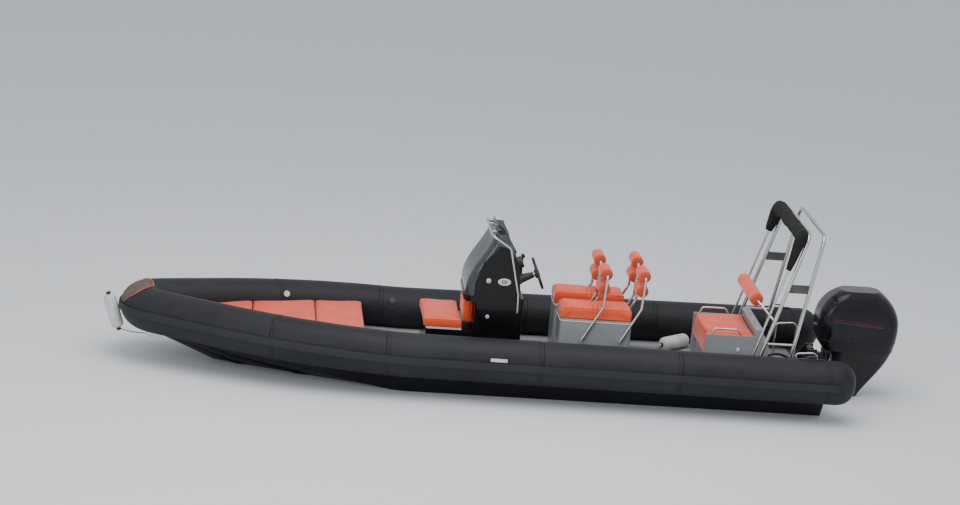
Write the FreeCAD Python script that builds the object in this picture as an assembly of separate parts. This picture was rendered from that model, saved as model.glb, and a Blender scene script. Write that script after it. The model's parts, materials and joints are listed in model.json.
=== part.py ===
# Rigid inflatable boat: a deep-V hull inside a buoyancy tube, with console, seats, arch and outboard engine.
# Millimetres. X points aft, Y to starboard, Z up.
# The origin is on the centre line, amidships, at the waterline.

import FreeCAD, Part
import os
from math import atan, atan2, cos, degrees, pi, radians, sin, sqrt, tan

V = FreeCAD.Vector
UP = V(0, 0, 1)

# Clearances
SEAT = 0.3                  # between a piece and the curved or soft piece that it seats on
RUNNING = 1.0               # between a pin or shaft and its bore

# Buoyancy tube
TUBE_DIAMETER = 460
TUBE_Z = 420                # height of the tube's axis, aft of the knee of the sheer
TUBE_END_X = 3500           # where the round section ends and the domed cap starts
TUBE_CAP = 190              # length of the domed cap
STERN_HALF_SPACING = 1087   # tube axis to centre line, at the stern
SPLAY = 1.7                 # degrees that each side opens aft
KNEE_X = -950               # where the sheer starts to rise
SHEER = 2.6                 # degrees of rise forward of the knee
SHEER_BEND = 6000
BOW_CURVE = 4600
BOW_HEADING = 24            # degrees between the straight bow run and the centre line
NOSE_X = -3680              # tube axis at the bow
NOSE_RADIUS = 275
TUBE_RADIUS = TUBE_DIAMETER / 2

# Rubbing strake
STRAKE_HEIGHT = 72
STRAKE_THICKNESS = 20
STRAKE_HALF_ANGLE = STRAKE_HEIGHT / TUBE_DIAMETER   # radians, from its middle to its edge

# Fittings on the tube
VALVE_DIAMETER = 66
VALVE_HEIGHT = 7
VALVE_ANGLE = 32            # degrees above the tube's inner side
VALVE_STATIONS = (-2230, -1040)
HANDLE_STATION = 3220
HANDLE_LENGTH = 270
HANDLE_PAD = 60
HANDLE_WIDTH = 38
HANDLE_RISE = 34
HANDLE_STRAP = 7
PATCH_THICKNESS = 4
PATCH_ANGLES = (11, 160)    # bow patch, over the tube's outward direction
PATCH_AHEAD = 70            # patch's middle ahead of the nose of the axis
PATCH_LENGTH = 350
PATCH_WIDTH = 500
SIDE_PAD = (-105, 65)       # white pads on the tubes' outer sides: forward and aft end
SIDE_PAD_ANGLES = (12, 20)  # over the tube's outward direction
SIDE_PAD_THICKNESS = 9

# Hull and deck
SOLE_DROP = 220             # hull top below the tube's axis
DECK_THICKNESS = 30
DECK_GAP = 2                # deck edge to tube
TRANSOM_X = 3400
TRANSOM_THICKNESS = 70
TRANSOM_TOP = 360
CHINE_FLAT = 45
LIFTING_STRAKE = 45
LIFTING_STRAKES = (0.36, 0.68)      # shares of the way from keel to chine
# station, keel height, chine half-breadth as a share of the tubes' half-spacing, chine height
HULL_STATIONS = (
    (TRANSOM_X, -400, 0.736, -40),
    (KNEE_X, -400, 0.718, -15),
    (-1800, -300, 0.570, 90),
    (-2700, -88, 0.340, 185),
    (-3250, 140, 0.138, 255),
    (-3640, 296, 0.015, 304),
)
SEAT_OUT = 10               # hull topside, outboard of the tube's axis
SEAT_DROP = 150

# Bow locker and its cushions
LOCKER_TOP = 455
LOCKER_STATIONS = (-1370, -1960, -2520, -3030)
LOCKER_TUBE_GAP = 30        # locker to tube, each side
CUSHION_THICKNESS = 100
CUSHION_GAP = 6
CUSHION_EDGE = 30
BOW_CUSHIONS = (            # name, aft end, forward end
    ("bow_cushion_aft", -1362, -1862),
    ("bow_cushion_middle", -1868, -2524),
    ("bow_cushion_forward", -2530, -3035),
)

# Console
CONSOLE_FRONT = -242
CONSOLE_BACK = 262
CONSOLE_HALF = 400
CONSOLE_SHOULDER = 940      # top of the lip that carries the screen
CONSOLE_CORNER = 30
LIP_FRONT = -352
LIP_HEIGHT = 62
LIP_CORNER = 110
DASH_HALF = CONSOLE_HALF
DASH_CORNER = 8
# side profile: x, height over the shoulder
DASH_PROFILE = ((-255, 0), (-255, 130), (-180, 362), (-25, 542), (86, 528), (188, 363), (232, 0))
SCREEN_THICKNESS = 6
SCREEN_CORNER = 85
SCREEN_CROWN = 130          # its top edge falls by this much from the middle to the sides
# Lofts: height over the shoulder, front x, back x, half-width, corner radius
SCREEN_SECTIONS = (
    (0, -345, 700, 392, SCREEN_CORNER),
    (120, -340, 700, 390, SCREEN_CORNER),
    (591, -97, 900, 380, SCREEN_CORNER),
    (790, -50, 950, 366, SCREEN_CORNER),
)
# side profile: x, height over the shoulder
SCREEN_EDGE = ((-400, 0), (-400, 700), (-88, 700), (0, 766), (30, 758), (72, 620), (124, 528), (184, 358),
               (226, 60), (226, 0))
RAIL_DIAMETER = 25
RAIL_BEND = 70
RAIL_POST = 18
RAIL_STANDOFF_Y = 190
CONSOLE_RAIL = ((200, 445, 800), (196, 445, 985), (84, 440, 1476), (-114, 405, 1596))      # x, y, z

# Console seat, forward of the console
SEAT_BOX_FRONT = -735
SEAT_BOX_TOP = 590
SEAT_LID = 20                # white lid under the cushion
SEAT_BOX_HALF = 405
SEAT_CUSHION_BACK = -364
BACK_PAD_HALF = 240
BACK_PAD_THICKNESS = 102
BACK_PAD_BOTTOM = 628
BACK_PAD_TOP = 864

# Helm
HELM_Y = -300
WHEEL_TILT = 22
WHEEL_DIAMETER = 350
WHEEL_RIM = 28
WHEEL_HUB = 90
WHEEL_X = 395
WHEEL_Z = 1203
WHEEL_SPOKES = 3
WHEEL_SPOKE = 20
WHEEL_HUB_ENDS = (-34, 12)          # along the shaft, from the rim's middle
COLUMN_DIAMETERS = (96, 60)         # at the dash and at the wheel
COLUMN_GAP = 11
COMPASS_DIAMETER = 122
COMPASS_X = 232
COMPASS_Y = -286
COMPASS_RISE = 115                  # over the wheel's middle
THROTTLE_Y = -60
THROTTLE_Z = 1165
THROTTLE_BASE = (70, 60, 100)       # along X, Y and Z
THROTTLE_LEVER = (22, 150)          # diameter, length
THROTTLE_GRIP = 38

# Pods and their saddles
POD_Y = 320
POD_HALF = 200
POD_FRONT = 650
POD_BACK = 1400
POD_TOP = 780
POD_CORNER = 45
SADDLE_TOP = 922
SADDLE_HALF = 165
FRAME_DIAMETER = 28
FRAME_BEND = 30
FRAME_FOOT = 20
ROLLER_BAR = 22
FRAME_STANDOFF = 24         # frame's axis to the pod's side
FRAME_POINTS = ((-217, -694), (-20, -330), (0, 0))           # x, z from the upper roller's axis
UPPER_ROLLERS = (1102, 1502)
ROLLER_Z = 1268
ROLLER_DROP = 160
ROLLER_AHEAD = 12           # lower roller ahead of the upper one
ROLLER_DIAMETER = 144
ROLLER_HALF = 145

# Stern bench
WELL_LENGTH = 530           # bench's back to the transom's back
BENCH_FRONT = 2240
BENCH_BACK = TRANSOM_X - WELL_LENGTH
BENCH_HALF = 460
BENCH_TOP = 612
COAMING_TOP = 782
COAMING_BACK = 2806
BENCH_SHELF = 640
COAMING_EDGE = 18
BENCH_CUSHION_BACK = 2715
BENCH_DROP = 270
BENCH_DROP_THICKNESS = 45
BENCH_PAD_EDGE = 20
BENCH_RAIL_DIAMETER = 22
BENCH_RAIL_BEND = 35
BENCH_CHEEK = 26            # side panels that rise beside the cushion
CHEEK_DROP = 14             # their top under the cushion's top
BENCH_RAIL = ((2262, 0), (2286, 62), (2534, 62), (2572, 0))             # x, z from the cushion's top

# Bolster
BOLSTER_X = 2700
BOLSTER_Z = 1095
BOLSTER_DIAMETER = 155
BOLSTER_HALF = 450
BOLSTER_BAR = 25

# Arch
ARCH_TUBE = 40
ARCH_TO_TUBE = 87           # middle of a foot to the tube's inner side
ARCH_FOOT_HALF = STERN_HALF_SPACING - TUBE_RADIUS - ARCH_TO_TUBE
ARCH_LEAN_IN = 55
ARCH_TOP_HALF = ARCH_FOOT_HALF - ARCH_LEAN_IN
ARCH_TOP_Z = 1875
ARCH_FRONT_FOOT_X = 2632
ARCH_FRONT_TOP_X = 3140
ARCH_REAR_FOOT_X = 2990
ARCH_REAR_TOP_X = 3295
ARCH_BEND = 120
STEP_Z = 1303
STEP_HEIGHT = 88
STEP_THICKNESS = 16
RUNG_Z = 705
RUNG_DIAMETER = 30
FLANGE_DIAMETER = 90
FLANGE_THICKNESS = 8

# Rails beside the engine well
WELL_RAIL = ((3132, 0), (3132, 355), (3360, 370), (3360, 130))      # x, height over the deck
WELL_RAIL_Y = 620
WELL_RAIL_DIAMETER = 25
WELL_RAIL_BEND = 50

# Hoses and cable sheaths from the bench to the engine, on each side of the engine well
HOSE_DIAMETER = 28
HOSE_BEND = 150
HOSE_YS = (-262, -224, -186, 205)
HOSE_POINTS = ((0, 70), (80, 70), (180, 120), (280, 120), (380, 70), (460, 70))     # x from the bench, height

# Folded canopy
CANOPY_BOW = 25
CANOPY_AHEAD = 80           # canopy bow ahead of the arch's front hoop
CANOPY_OVER = 6             # its top over the arch's top
CANOPY_FOOT_Z = 480
COVER_DIAMETER = 120        # round the arms
COVER_BUNDLE = 162          # round the folded cloth over the arch
COVER_BUNDLE_HALF = 430
COVER_BOTTOM_PORT = 1500
COVER_BOTTOM_STARBOARD = 1590
COVER_BEND = 210

# Bow fender and mooring eye
FENDER_DIAMETER = 130
FENDER_LENGTH = 368
FENDER_NECK = 44
FENDER_NECK_LENGTH = 35
FENDER_TILT = 18.5
FENDER_TOP_Z = 632
EYE_X = -3590
EYE_Z = 232
EYE_BORE = 25
EYE_OUTER = 72
EYE_THICKNESS = 14

LINE_DIAMETER = 9

# Fender on the deck: middle x and y, body length, diameter, degrees from the centre line
DECK_FENDER = (2042, 622, 400, 150, 42)

# Outboard engine
TILT_X = 3412
TILT_Z = 470
TILT_TUBE = 44
STEER_X = 3575
CLAMP_PLATE_Y = 112
CLAMP_PLATE = 22
CLAMP_HOOK = 26
SWIVEL_HALF = 70
SWIVEL_BOSS = 100
SWIVEL_TOP = 452
SWIVEL_BOTTOM = -40
STEER_SHAFT = 54
PLATE_Z = -395              # anti-ventilation plate
PROP_Z = -615
PROP_X = 4020
PROP_GAP = 12
PROP_HUB = 110
PROP_HUB_LENGTH = 130
PROP_BLADES = 3
COWL_SPLIT_Z = 640
COWL_WALL = 6
# Lofts: height, front x, back x, half-width, corner radius
COWL_SECTIONS = (
    (COWL_SPLIT_Z, 3446, 4288, 236, 130),
    (800, 3434, 4302, 250, 140),
    (985, 3474, 4254, 240, 140),
    (1103, 3566, 4164, 212, 140),
)
COWL_TOP_Z = 1166
COWL_TOP = (3660, 4080, 140, 105)
PAN_SECTIONS = (
    (524, 3520, 4268, 205, 120),
    (COWL_SPLIT_Z - 4, 3446, 4288, 236, 130),
)
LEG_SECTIONS = (
    (523, 3636, 4262, 186, 110),
    (385, 3640, 4206, 145, 90),
    (235, 3655, 4106, 104, 60),
    (85, 3660, 3996, 74, 42),
    (PLATE_Z, 3670, 3930, 50, 25),
)
STRUT_SECTIONS = (
    (PLATE_Z, 3670, 3930, 45, 22),
    (PROP_Z, 3655, 3905, 32, 16),
)
NOSE_CONE = 95              # length of the gearcase's rounded nose
SKEG = ((3690, 0), (3905, 0), (3925, -150), (3900, -205), (3850, -212))     # x, z from the shaft
SKEG_THICKNESS = 16
# Propeller blade: radius, chord, thickness, offset aft
BLADE_SECTIONS = ((40, 96, 15, 0), (95, 138, 10, 6), (145, 132, 7, 12), (185, 62, 4, 18))
BLADE_PITCH = 430
EXHAUST_BORE = 82
EXHAUST_DEPTH = 60
POWERHEAD = (3600, 4080, 150, 1030)         # front, back, half-width, top

NODES = {}


def keep(name, shape):
    """Store a finished sub-part under its node name."""
    NODES[name] = shape


def face_of(points):
    return Part.Face(Part.makePolygon(list(points) + [points[0]]))


def block(x0, x1, y0, y1, z0, z1):
    return Part.makeBox(x1 - x0, y1 - y0, z1 - z0, V(x0, y0, z0))


def prism_across(profile, y0, y1):
    """A side profile of (x, z) points, pulled across the boat."""
    return face_of([V(x, y0, z) for x, z in profile]).extrude(V(0, y1 - y0, 0))


def prism_up(outline, z0, z1):
    """A plan outline of (x, y) points, pulled upwards."""
    return face_of([V(x, y, z0) for x, y in outline]).extrude(V(0, 0, z1 - z0))


def rod(start, end, diameter):
    return Part.makeCylinder(diameter / 2, (end - start).Length, start, end - start)


def disc(centre, normal, diameter):
    return Part.Face(Part.Wire(Part.makeCircle(diameter / 2, centre, normal)))


def fused(pieces):
    shape = pieces[0].multiFuse(pieces[1:]) if len(pieces) > 1 else pieces[0]
    shape = shape.removeSplitter()
    return shape.Solids[0] if len(shape.Solids) == 1 else shape


def mirrored(shape):
    return shape.mirror(V(0, 0, 0), V(0, 1, 0))


def both_sides(shape):
    return Part.makeCompound([shape, mirrored(shape)])


def rounded(solid, radius, wanted):
    """Fillet the edges that the wanted test picks."""
    return solid.makeFillet(radius, [edge for edge in solid.Edges if wanted(edge)])


def runs_along(axis):
    """A test for straight edges along one axis."""
    def test(edge):
        if not isinstance(edge.Curve, Part.Line):
            return False
        return abs(abs(edge.Curve.Direction.dot(axis)) - 1) < 1e-6
    return test


def upright(edge):
    return runs_along(UP)(edge)


def bent_rod(points, diameter, bend):
    """A round bar along straight runs, with an arc of the bend radius at each corner."""
    pieces = []
    start = points[0]
    for before, corner, after in zip(points, points[1:], points[2:]):
        run_in = (corner - before).normalize()
        run_out = (after - corner).normalize()
        turn = run_in.getAngle(run_out)
        reach = bend * tan(turn / 2)
        arc_start = corner - run_in * reach
        side = (run_out - run_in * run_in.dot(run_out)).normalize()
        pieces.append(rod(start, arc_start, diameter))
        arc = disc(arc_start, run_in, diameter)
        pieces.append(arc.revolve(arc_start + side * bend, run_in.cross(run_out), degrees(turn)))
        start = corner + run_out * reach
    pieces.append(rod(start, points[-1], diameter))
    return fused(pieces)


def rounded_outline(x0, x1, half, corner, z):
    """A level wire: a rectangle about the centre line with round corners."""
    k = corner * (1 - sqrt(0.5))
    edges = []
    # corner's x, corner's y, and the signs of the way inwards
    corners = ((x1, half, -1, -1), (x0, half, 1, -1), (x0, -half, 1, 1), (x1, -half, -1, 1))
    ends = []
    for x, y, sx, sy in corners:
        on_side = V(x + sx * corner, y, z)
        on_end = V(x, y + sy * corner, z)
        middle = V(x + sx * k, y + sy * k, z)
        ends.append((on_side, middle, on_end) if sx * sy < 0 else (on_end, middle, on_side))
    for this, following in zip(ends, ends[1:] + ends[:1]):
        edges.append(Part.Arc(*this).toShape())
        edges.append(Part.makeLine(this[2], following[0]))
    return Part.Wire(Part.__sortEdges__(edges))


# The tube's route: one side, from the stern to the nose


def tube_route():
    """Legs of the starboard axis: each has its start, its outward direction and how it goes on."""
    splay = radians(SPLAY)
    sheer = radians(SHEER)
    heading = V(-cos(splay), -sin(splay), 0)
    outward = V(-sin(splay), cos(splay), 0)
    stern = V(TUBE_END_X, STERN_HALF_SPACING, TUBE_Z)
    run = (TUBE_END_X - KNEE_X) / cos(splay) - SHEER_BEND * tan(sheer / 2)
    bend_start = stern + heading * run
    rising = heading * cos(sheer) + UP * sin(sheer)
    bend_end = bend_start + (heading + rising) * SHEER_BEND * tan(sheer / 2)

    # The bow lies in one tilted plane: u is forward along it, v is Y
    tilt = atan2(rising.z, -rising.x)
    normal = V(sin(tilt), 0, cos(tilt))

    def at(u, v):
        return V(bend_end.x - u * cos(tilt), v, bend_end.z + u * sin(tilt))

    turn_in = atan2(-rising.y, -rising.x / cos(tilt))
    bow = radians(BOW_HEADING)
    nose_u = (bend_end.x - NOSE_X) / cos(tilt)
    centre_u = nose_u - NOSE_RADIUS
    join_u = centre_u + NOSE_RADIUS * sin(bow)
    join_v = NOSE_RADIUS * cos(bow)
    corner_u = (bend_end.y - join_v - join_u * tan(bow)) / (tan(turn_in) - tan(bow))
    corner_v = bend_end.y - corner_u * tan(turn_in)
    reach = BOW_CURVE * tan((bow - turn_in) / 2)
    curve_start = (corner_u - reach * cos(turn_in), corner_v + reach * sin(turn_in))
    curve_end = (corner_u + reach * cos(bow), corner_v - reach * sin(bow))
    curve_centre = (curve_start[0] - BOW_CURVE * sin(turn_in), curve_start[1] - BOW_CURVE * cos(turn_in))

    def out_at(angle):
        return at(sin(angle), cos(angle)) - at(0, 0)

    return [
        {"start": stern, "out": outward, "up": UP, "run": bend_start - stern},
        {"start": bend_start, "out": outward, "up": UP,
         "centre": bend_start + UP * SHEER_BEND, "axis": outward, "turn": SHEER},
        {"start": bend_end, "out": out_at(turn_in), "up": normal, "run": at(*curve_start) - bend_end},
        {"start": at(*curve_start), "out": out_at(turn_in), "up": normal,
         "centre": at(*curve_centre), "axis": normal, "turn": degrees(bow - turn_in)},
        {"start": at(*curve_end), "out": out_at(bow), "up": normal, "run": at(join_u, join_v) - at(*curve_end)},
        {"start": at(join_u, join_v), "out": out_at(bow), "up": normal,
         "centre": at(centre_u, 0), "axis": normal, "turn": 90 - BOW_HEADING},
    ]


ROUTE = tube_route()


def leg_point(leg, share):
    """A point of a leg, from 0 at its start to 1 at its end."""
    if "run" in leg:
        return leg["start"] + leg["run"] * share
    turned = FreeCAD.Rotation(leg["axis"], leg["turn"] * share)
    return leg["centre"] + turned.multVec(leg["start"] - leg["centre"])


def tube_station(x):
    """The tube's axis at a station, with its outward and its upward direction there."""
    for leg in ROUTE:
        if leg_point(leg, 1).x <= x:
            break
    low, high = 0.0, 1.0
    for _ in range(50):
        middle = (low + high) / 2
        if leg_point(leg, middle).x > x:
            low = middle
        else:
            high = middle
    if "run" in leg:
        return leg_point(leg, low), leg["out"], leg["up"]
    turned = FreeCAD.Rotation(leg["axis"], leg["turn"] * low)
    return leg_point(leg, low), turned.multVec(leg["out"]), turned.multVec(leg["up"])


def tube_axis(x):
    """Half-spacing and height of the tube's axis at a station."""
    point = tube_station(x)[0]
    return point.y, point.z


def swept(section, legs=ROUTE):
    """Carry a section along the route on both sides and join it into one solid."""
    pieces = []
    for leg in legs:
        face = section(leg["start"], leg["out"], leg["up"])
        if "run" in leg:
            pieces.append(face.extrude(leg["run"]))
        else:
            pieces.append(face.revolve(leg["centre"], leg["axis"], leg["turn"]))
    return fused(pieces + [mirrored(piece) for piece in pieces])


def round_section(diameter):
    return lambda at, out, up: disc(at, out.cross(up), diameter)


def ring_sector(inner, outer, low, high):
    """A band of a ring across the tube, between two angles over the outward direction."""
    def section(at, out, up):
        def spot(radius, angle):
            return at + (out * cos(angle) + up * sin(angle)) * radius
        a, b = radians(low), radians(high)
        m = (a + b) / 2
        edges = [
            Part.Arc(spot(outer, a), spot(outer, m), spot(outer, b)).toShape(),
            Part.makeLine(spot(outer, b), spot(inner, b)),
            Part.Arc(spot(inner, b), spot(inner, m), spot(inner, a)).toShape(),
            Part.makeLine(spot(inner, a), spot(outer, a)),
        ]
        return Part.Face(Part.Wire(edges))
    return section


def tube_cap(radius, length):
    """The domed end of the starboard tube: a round shoulder and a small flat middle."""
    k = length * sqrt(0.5)
    profile = [
        Part.makeLine(V(0, 0, 0), V(0, 0, radius)),
        Part.Arc(V(0, 0, radius), V(k, 0, radius - length + k), V(length, 0, radius - length)).toShape(),
        Part.makeLine(V(length, 0, radius - length), V(length, 0, 0)),
        Part.makeLine(V(length, 0, 0), V(0, 0, 0)),
    ]
    cap = Part.Face(Part.Wire(profile)).revolve(V(0, 0, 0), V(1, 0, 0), 360)
    cap.rotate(V(0, 0, 0), UP, SPLAY)
    cap.translate(V(TUBE_END_X, STERN_HALF_SPACING, TUBE_Z))
    return cap


def buoyancy_tube(diameter):
    body = swept(round_section(diameter))
    cap = tube_cap(diameter / 2, TUBE_CAP)
    return fused([body, cap, mirrored(cap)])


TUBE_SPACE = buoyancy_tube(TUBE_DIAMETER + 2 * SEAT)


def sole(x):
    """Height of the hull's top, under the deck."""
    rise = max(0, KNEE_X - x) * tan(radians(SHEER))
    return TUBE_Z - SOLE_DROP + rise


def deck(x):
    return sole(x) + DECK_THICKNESS


DECK_Z = deck(KNEE_X)


def tubes():
    keep("buoyancy_tube", buoyancy_tube(TUBE_DIAMETER))
    half = degrees(STRAKE_HALF_ANGLE)
    band = ring_sector(TUBE_RADIUS + SEAT, TUBE_RADIUS + STRAKE_THICKNESS, -half, half)
    keep("rub_strake", swept(band))
    patch = ring_sector(TUBE_RADIUS + SEAT, TUBE_RADIUS + PATCH_THICKNESS, *PATCH_ANGLES)
    shell = swept(patch, ROUTE[-2:])
    oval = Part.Ellipse(V(0, 0, 0), PATCH_WIDTH / 2, PATCH_LENGTH / 2).toShape()
    oval = Part.Face(Part.Wire(oval)).extrude(V(0, 0, 3 * TUBE_Z))
    oval.rotate(V(0, 0, 0), UP, 90)
    oval.translate(V(NOSE_X - PATCH_AHEAD, 0, 0))
    keep("bow_patch", max(shell.common(oval).Solids, key=lambda s: s.Volume))

    pad = ring_sector(TUBE_RADIUS + SEAT, TUBE_RADIUS + SIDE_PAD_THICKNESS, *SIDE_PAD_ANGLES)
    lengths = block(*SIDE_PAD, -2 * STERN_HALF_SPACING, 2 * STERN_HALF_SPACING, 0, 2 * TUBE_Z)
    keep("side_pads", swept(pad, ROUTE[:1]).common(lengths))

    valves = []
    angle = radians(180 - VALVE_ANGLE)
    for x in VALVE_STATIONS:
        axis, out, up = tube_station(x)
        way = out * cos(angle) + up * sin(angle)
        valve = rod(axis + way * (TUBE_RADIUS - 10), axis + way * (TUBE_RADIUS + VALVE_HEIGHT), VALVE_DIAMETER)
        valve = max(valve.cut(TUBE_SPACE).Solids, key=lambda s: s.Volume)
        valves += [valve, mirrored(valve)]
    keep("inflation_valves", Part.makeCompound(valves))

    y, z = tube_axis(HANDLE_STATION)
    half, top = HANDLE_LENGTH / 2, z + TUBE_RADIUS
    under = [(half - HANDLE_PAD, 0), (half - HANDLE_PAD - 35, HANDLE_RISE - HANDLE_STRAP)]
    over = [(half - HANDLE_PAD - 33, HANDLE_RISE), (half - HANDLE_PAD + 3, HANDLE_STRAP), (half, HANDLE_STRAP)]
    right = [(half, -20), (half - HANDLE_PAD, -20)] + under
    left = [(-x, z) for x, z in reversed(right)] + [(-x, z) for x, z in reversed(over)]
    profile = [(HANDLE_STATION + x, top + z) for x, z in right + left + over]
    strap = prism_across(profile, y - HANDLE_WIDTH / 2, y + HANDLE_WIDTH / 2).cut(TUBE_SPACE)
    keep("carry_handles", both_sides(max(strap.Solids, key=lambda s: s.Volume)))


def hull_half_section(station):
    """Half of a hull section from the keel to the middle of its top."""
    x, keel, share_y, chine_z = station
    chine_y = share_y * STERN_HALF_SPACING
    spacing, axis_z = tube_axis(x)
    size = share_y / HULL_STATIONS[0][2]
    slope = (chine_z - keel) / chine_y
    points = [V(x, 0, keel)]
    for share in LIFTING_STRAKES:
        y = share * chine_y
        z = keel + slope * y
        width = LIFTING_STRAKE * size
        points += [V(x, y, z), V(x, y + width, z), V(x, y + width, z + slope * width)]
    points += [
        V(x, chine_y, chine_z),
        V(x, chine_y + CHINE_FLAT * size, chine_z),
        V(x, spacing + SEAT_OUT, axis_z - SEAT_DROP),
        V(x, spacing + SEAT_OUT, axis_z),
        V(x, 0, axis_z),
    ]
    return points


def above_sole(x):
    """Everything over the hull's top, forward of a station."""
    bow = NOSE_X - TUBE_DIAMETER
    high = TUBE_Z + TUBE_DIAMETER
    profile = [(x, sole(x)), (KNEE_X, sole(KNEE_X)), (bow, sole(bow)), (bow, high), (x, high)]
    return prism_across(profile, -2 * STERN_HALF_SPACING, 2 * STERN_HALF_SPACING)


def hull():
    wires = [Part.makePolygon(half + [half[0]]) for half in map(hull_half_section, HULL_STATIONS)]
    side = Part.makeLoft(wires, True, True)
    wide = 2 * STERN_HALF_SPACING
    over_transom = block(0, 2 * TRANSOM_X, -wide, wide, TRANSOM_TOP, 2 * TRANSOM_TOP)
    side = side.cut(above_sole(TRANSOM_X - TRANSOM_THICKNESS)).cut(over_transom).cut(TUBE_SPACE)
    side = max(side.Solids, key=lambda solid: solid.Volume)
    return fused([side, mirrored(side)])


def deck_plate():
    """The deck lies on the hull's top and reaches out to the tubes."""
    stations = [TRANSOM_X - TRANSOM_THICKNESS, KNEE_X] + list(LOCKER_STATIONS) + [LOCKER_STATIONS[-1] - 60]
    front, back = stations[-1], stations[0]
    profile = [(front, sole(front)), (KNEE_X, sole(KNEE_X)), (back, sole(back)),
               (back, deck(back)), (KNEE_X, deck(KNEE_X)), (front, deck(front))]
    drop = SOLE_DROP - DECK_THICKNESS
    inset = sqrt((TUBE_RADIUS + SEAT) ** 2 - drop ** 2) + DECK_GAP
    right = []
    for x in stations:
        slope = (tube_axis(x + 1)[0] - tube_axis(x - 1)[0]) / 2
        right.append((x, tube_axis(x)[0] - inset * sqrt(1 + slope ** 2)))
    outline = right + [(x, -y) for x, y in reversed(right)]
    level = prism_up(outline, sole(back) - 10, deck(front) + 10)
    return level.common(prism_across(profile, -STERN_HALF_SPACING, STERN_HALF_SPACING)).Solids[0]


def bow_half_width(x):
    return tube_axis(x)[0] - TUBE_RADIUS - LOCKER_TUBE_GAP


def bow_outline(aft, forward):
    """Plan outline between the tubes, from one station to another further forward."""
    stations = [aft] + [x for x in LOCKER_STATIONS if forward < x < aft] + [forward]
    right = [(x, bow_half_width(x)) for x in stations]
    return right + [(x, -y) for x, y in reversed(right)]


def bow_seat():
    aft, forward = LOCKER_STATIONS[0], LOCKER_STATIONS[-1]
    over_deck = prism_across([(aft, deck(aft)), (forward, deck(forward)),
                              (forward, LOCKER_TOP), (aft, LOCKER_TOP)],
                             -STERN_HALF_SPACING, STERN_HALF_SPACING)
    body = prism_up(bow_outline(aft, forward), 0, LOCKER_TOP).common(over_deck).Solids[0]
    keep("bow_locker", body)
    for name, back, front in BOW_CUSHIONS:
        pad = prism_up(bow_outline(back, front), LOCKER_TOP, LOCKER_TOP + CUSHION_THICKNESS)
        keep(name, rounded(pad, CUSHION_EDGE, lambda e: e.CenterOfMass.z > LOCKER_TOP + CUSHION_THICKNESS - 1))


def screen_space(inset):
    """The space inside the screen's outer face, or inside a face that lies further in."""
    sections = [(CONSOLE_SHOULDER + z, x0 + inset, x1, half - inset, corner - inset)
                for z, x0, x1, half, corner in SCREEN_SECTIONS]
    return loft_of(sections)


def console_parts():
    lower = block(CONSOLE_FRONT, CONSOLE_BACK, -CONSOLE_HALF, CONSOLE_HALF, DECK_Z, CONSOLE_SHOULDER)
    lower = rounded(lower, CONSOLE_CORNER, upright)
    under_lip = CONSOLE_SHOULDER - LIP_HEIGHT
    lip = Part.Face(rounded_outline(LIP_FRONT, CONSOLE_BACK, CONSOLE_HALF, LIP_CORNER, under_lip))
    keep("console", fused([lower, lip.extrude(V(0, 0, LIP_HEIGHT))]))

    profile = [(x, CONSOLE_SHOULDER + z) for x, z in DASH_PROFILE]
    dash = prism_across(profile, -DASH_HALF, DASH_HALF)
    dash = rounded(dash, DASH_CORNER, lambda e: e.CenterOfMass.z > CONSOLE_SHOULDER + 1)
    keep("dash", dash)

    edge = prism_across([(x, CONSOLE_SHOULDER + z) for x, z in SCREEN_EDGE], -CONSOLE_HALF, CONSOLE_HALF)
    peak = CONSOLE_SHOULDER + max(z for _, z in SCREEN_EDGE)
    side = peak - SCREEN_CROWN
    arch = Part.Arc(V(LIP_FRONT, -CONSOLE_HALF, side), V(LIP_FRONT, 0, peak), V(LIP_FRONT, CONSOLE_HALF, side))
    ends = [V(LIP_FRONT, CONSOLE_HALF, side), V(LIP_FRONT, CONSOLE_HALF, CONSOLE_SHOULDER),
            V(LIP_FRONT, -CONSOLE_HALF, CONSOLE_SHOULDER), V(LIP_FRONT, -CONSOLE_HALF, side)]
    sides = [Part.makeLine(start, end) for start, end in zip(ends, ends[1:])]
    crown = Part.Face(Part.Wire([arch.toShape()] + sides)).extrude(V(CONSOLE_BACK - LIP_FRONT, 0, 0))
    shell = screen_space(0).cut(screen_space(SCREEN_THICKNESS)).common(edge).common(crown)
    shell = shell.cut(prism_across(profile, -DASH_HALF, DASH_HALF))
    keep("windscreen", max(shell.Solids, key=lambda s: s.Volume))

    side = [V(*point) for point in CONSOLE_RAIL]
    rail = bent_rod(side + [flip(point) for point in reversed(side)], RAIL_DIAMETER, RAIL_BEND)
    posts = []
    for point in (side[0] + UP * RAIL_POST * 2, side[1] - UP * RAIL_POST * 2):
        wall = V(point.x, CONSOLE_HALF, point.z)
        posts += [rod(wall, point, RAIL_POST), rod(flip(wall), flip(point), RAIL_POST)]
    top = side[-1]
    for y in (-RAIL_STANDOFF_Y, RAIL_STANDOFF_Y):
        standoff = rod(V(top.x, y, top.z), V(top.x + 200, y, top.z), RAIL_POST).cut(screen_space(0))
        posts.append(min(standoff.Solids, key=lambda s: s.CenterOfMass.x))
    keep("console_rail", fused([rail] + posts))


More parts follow.
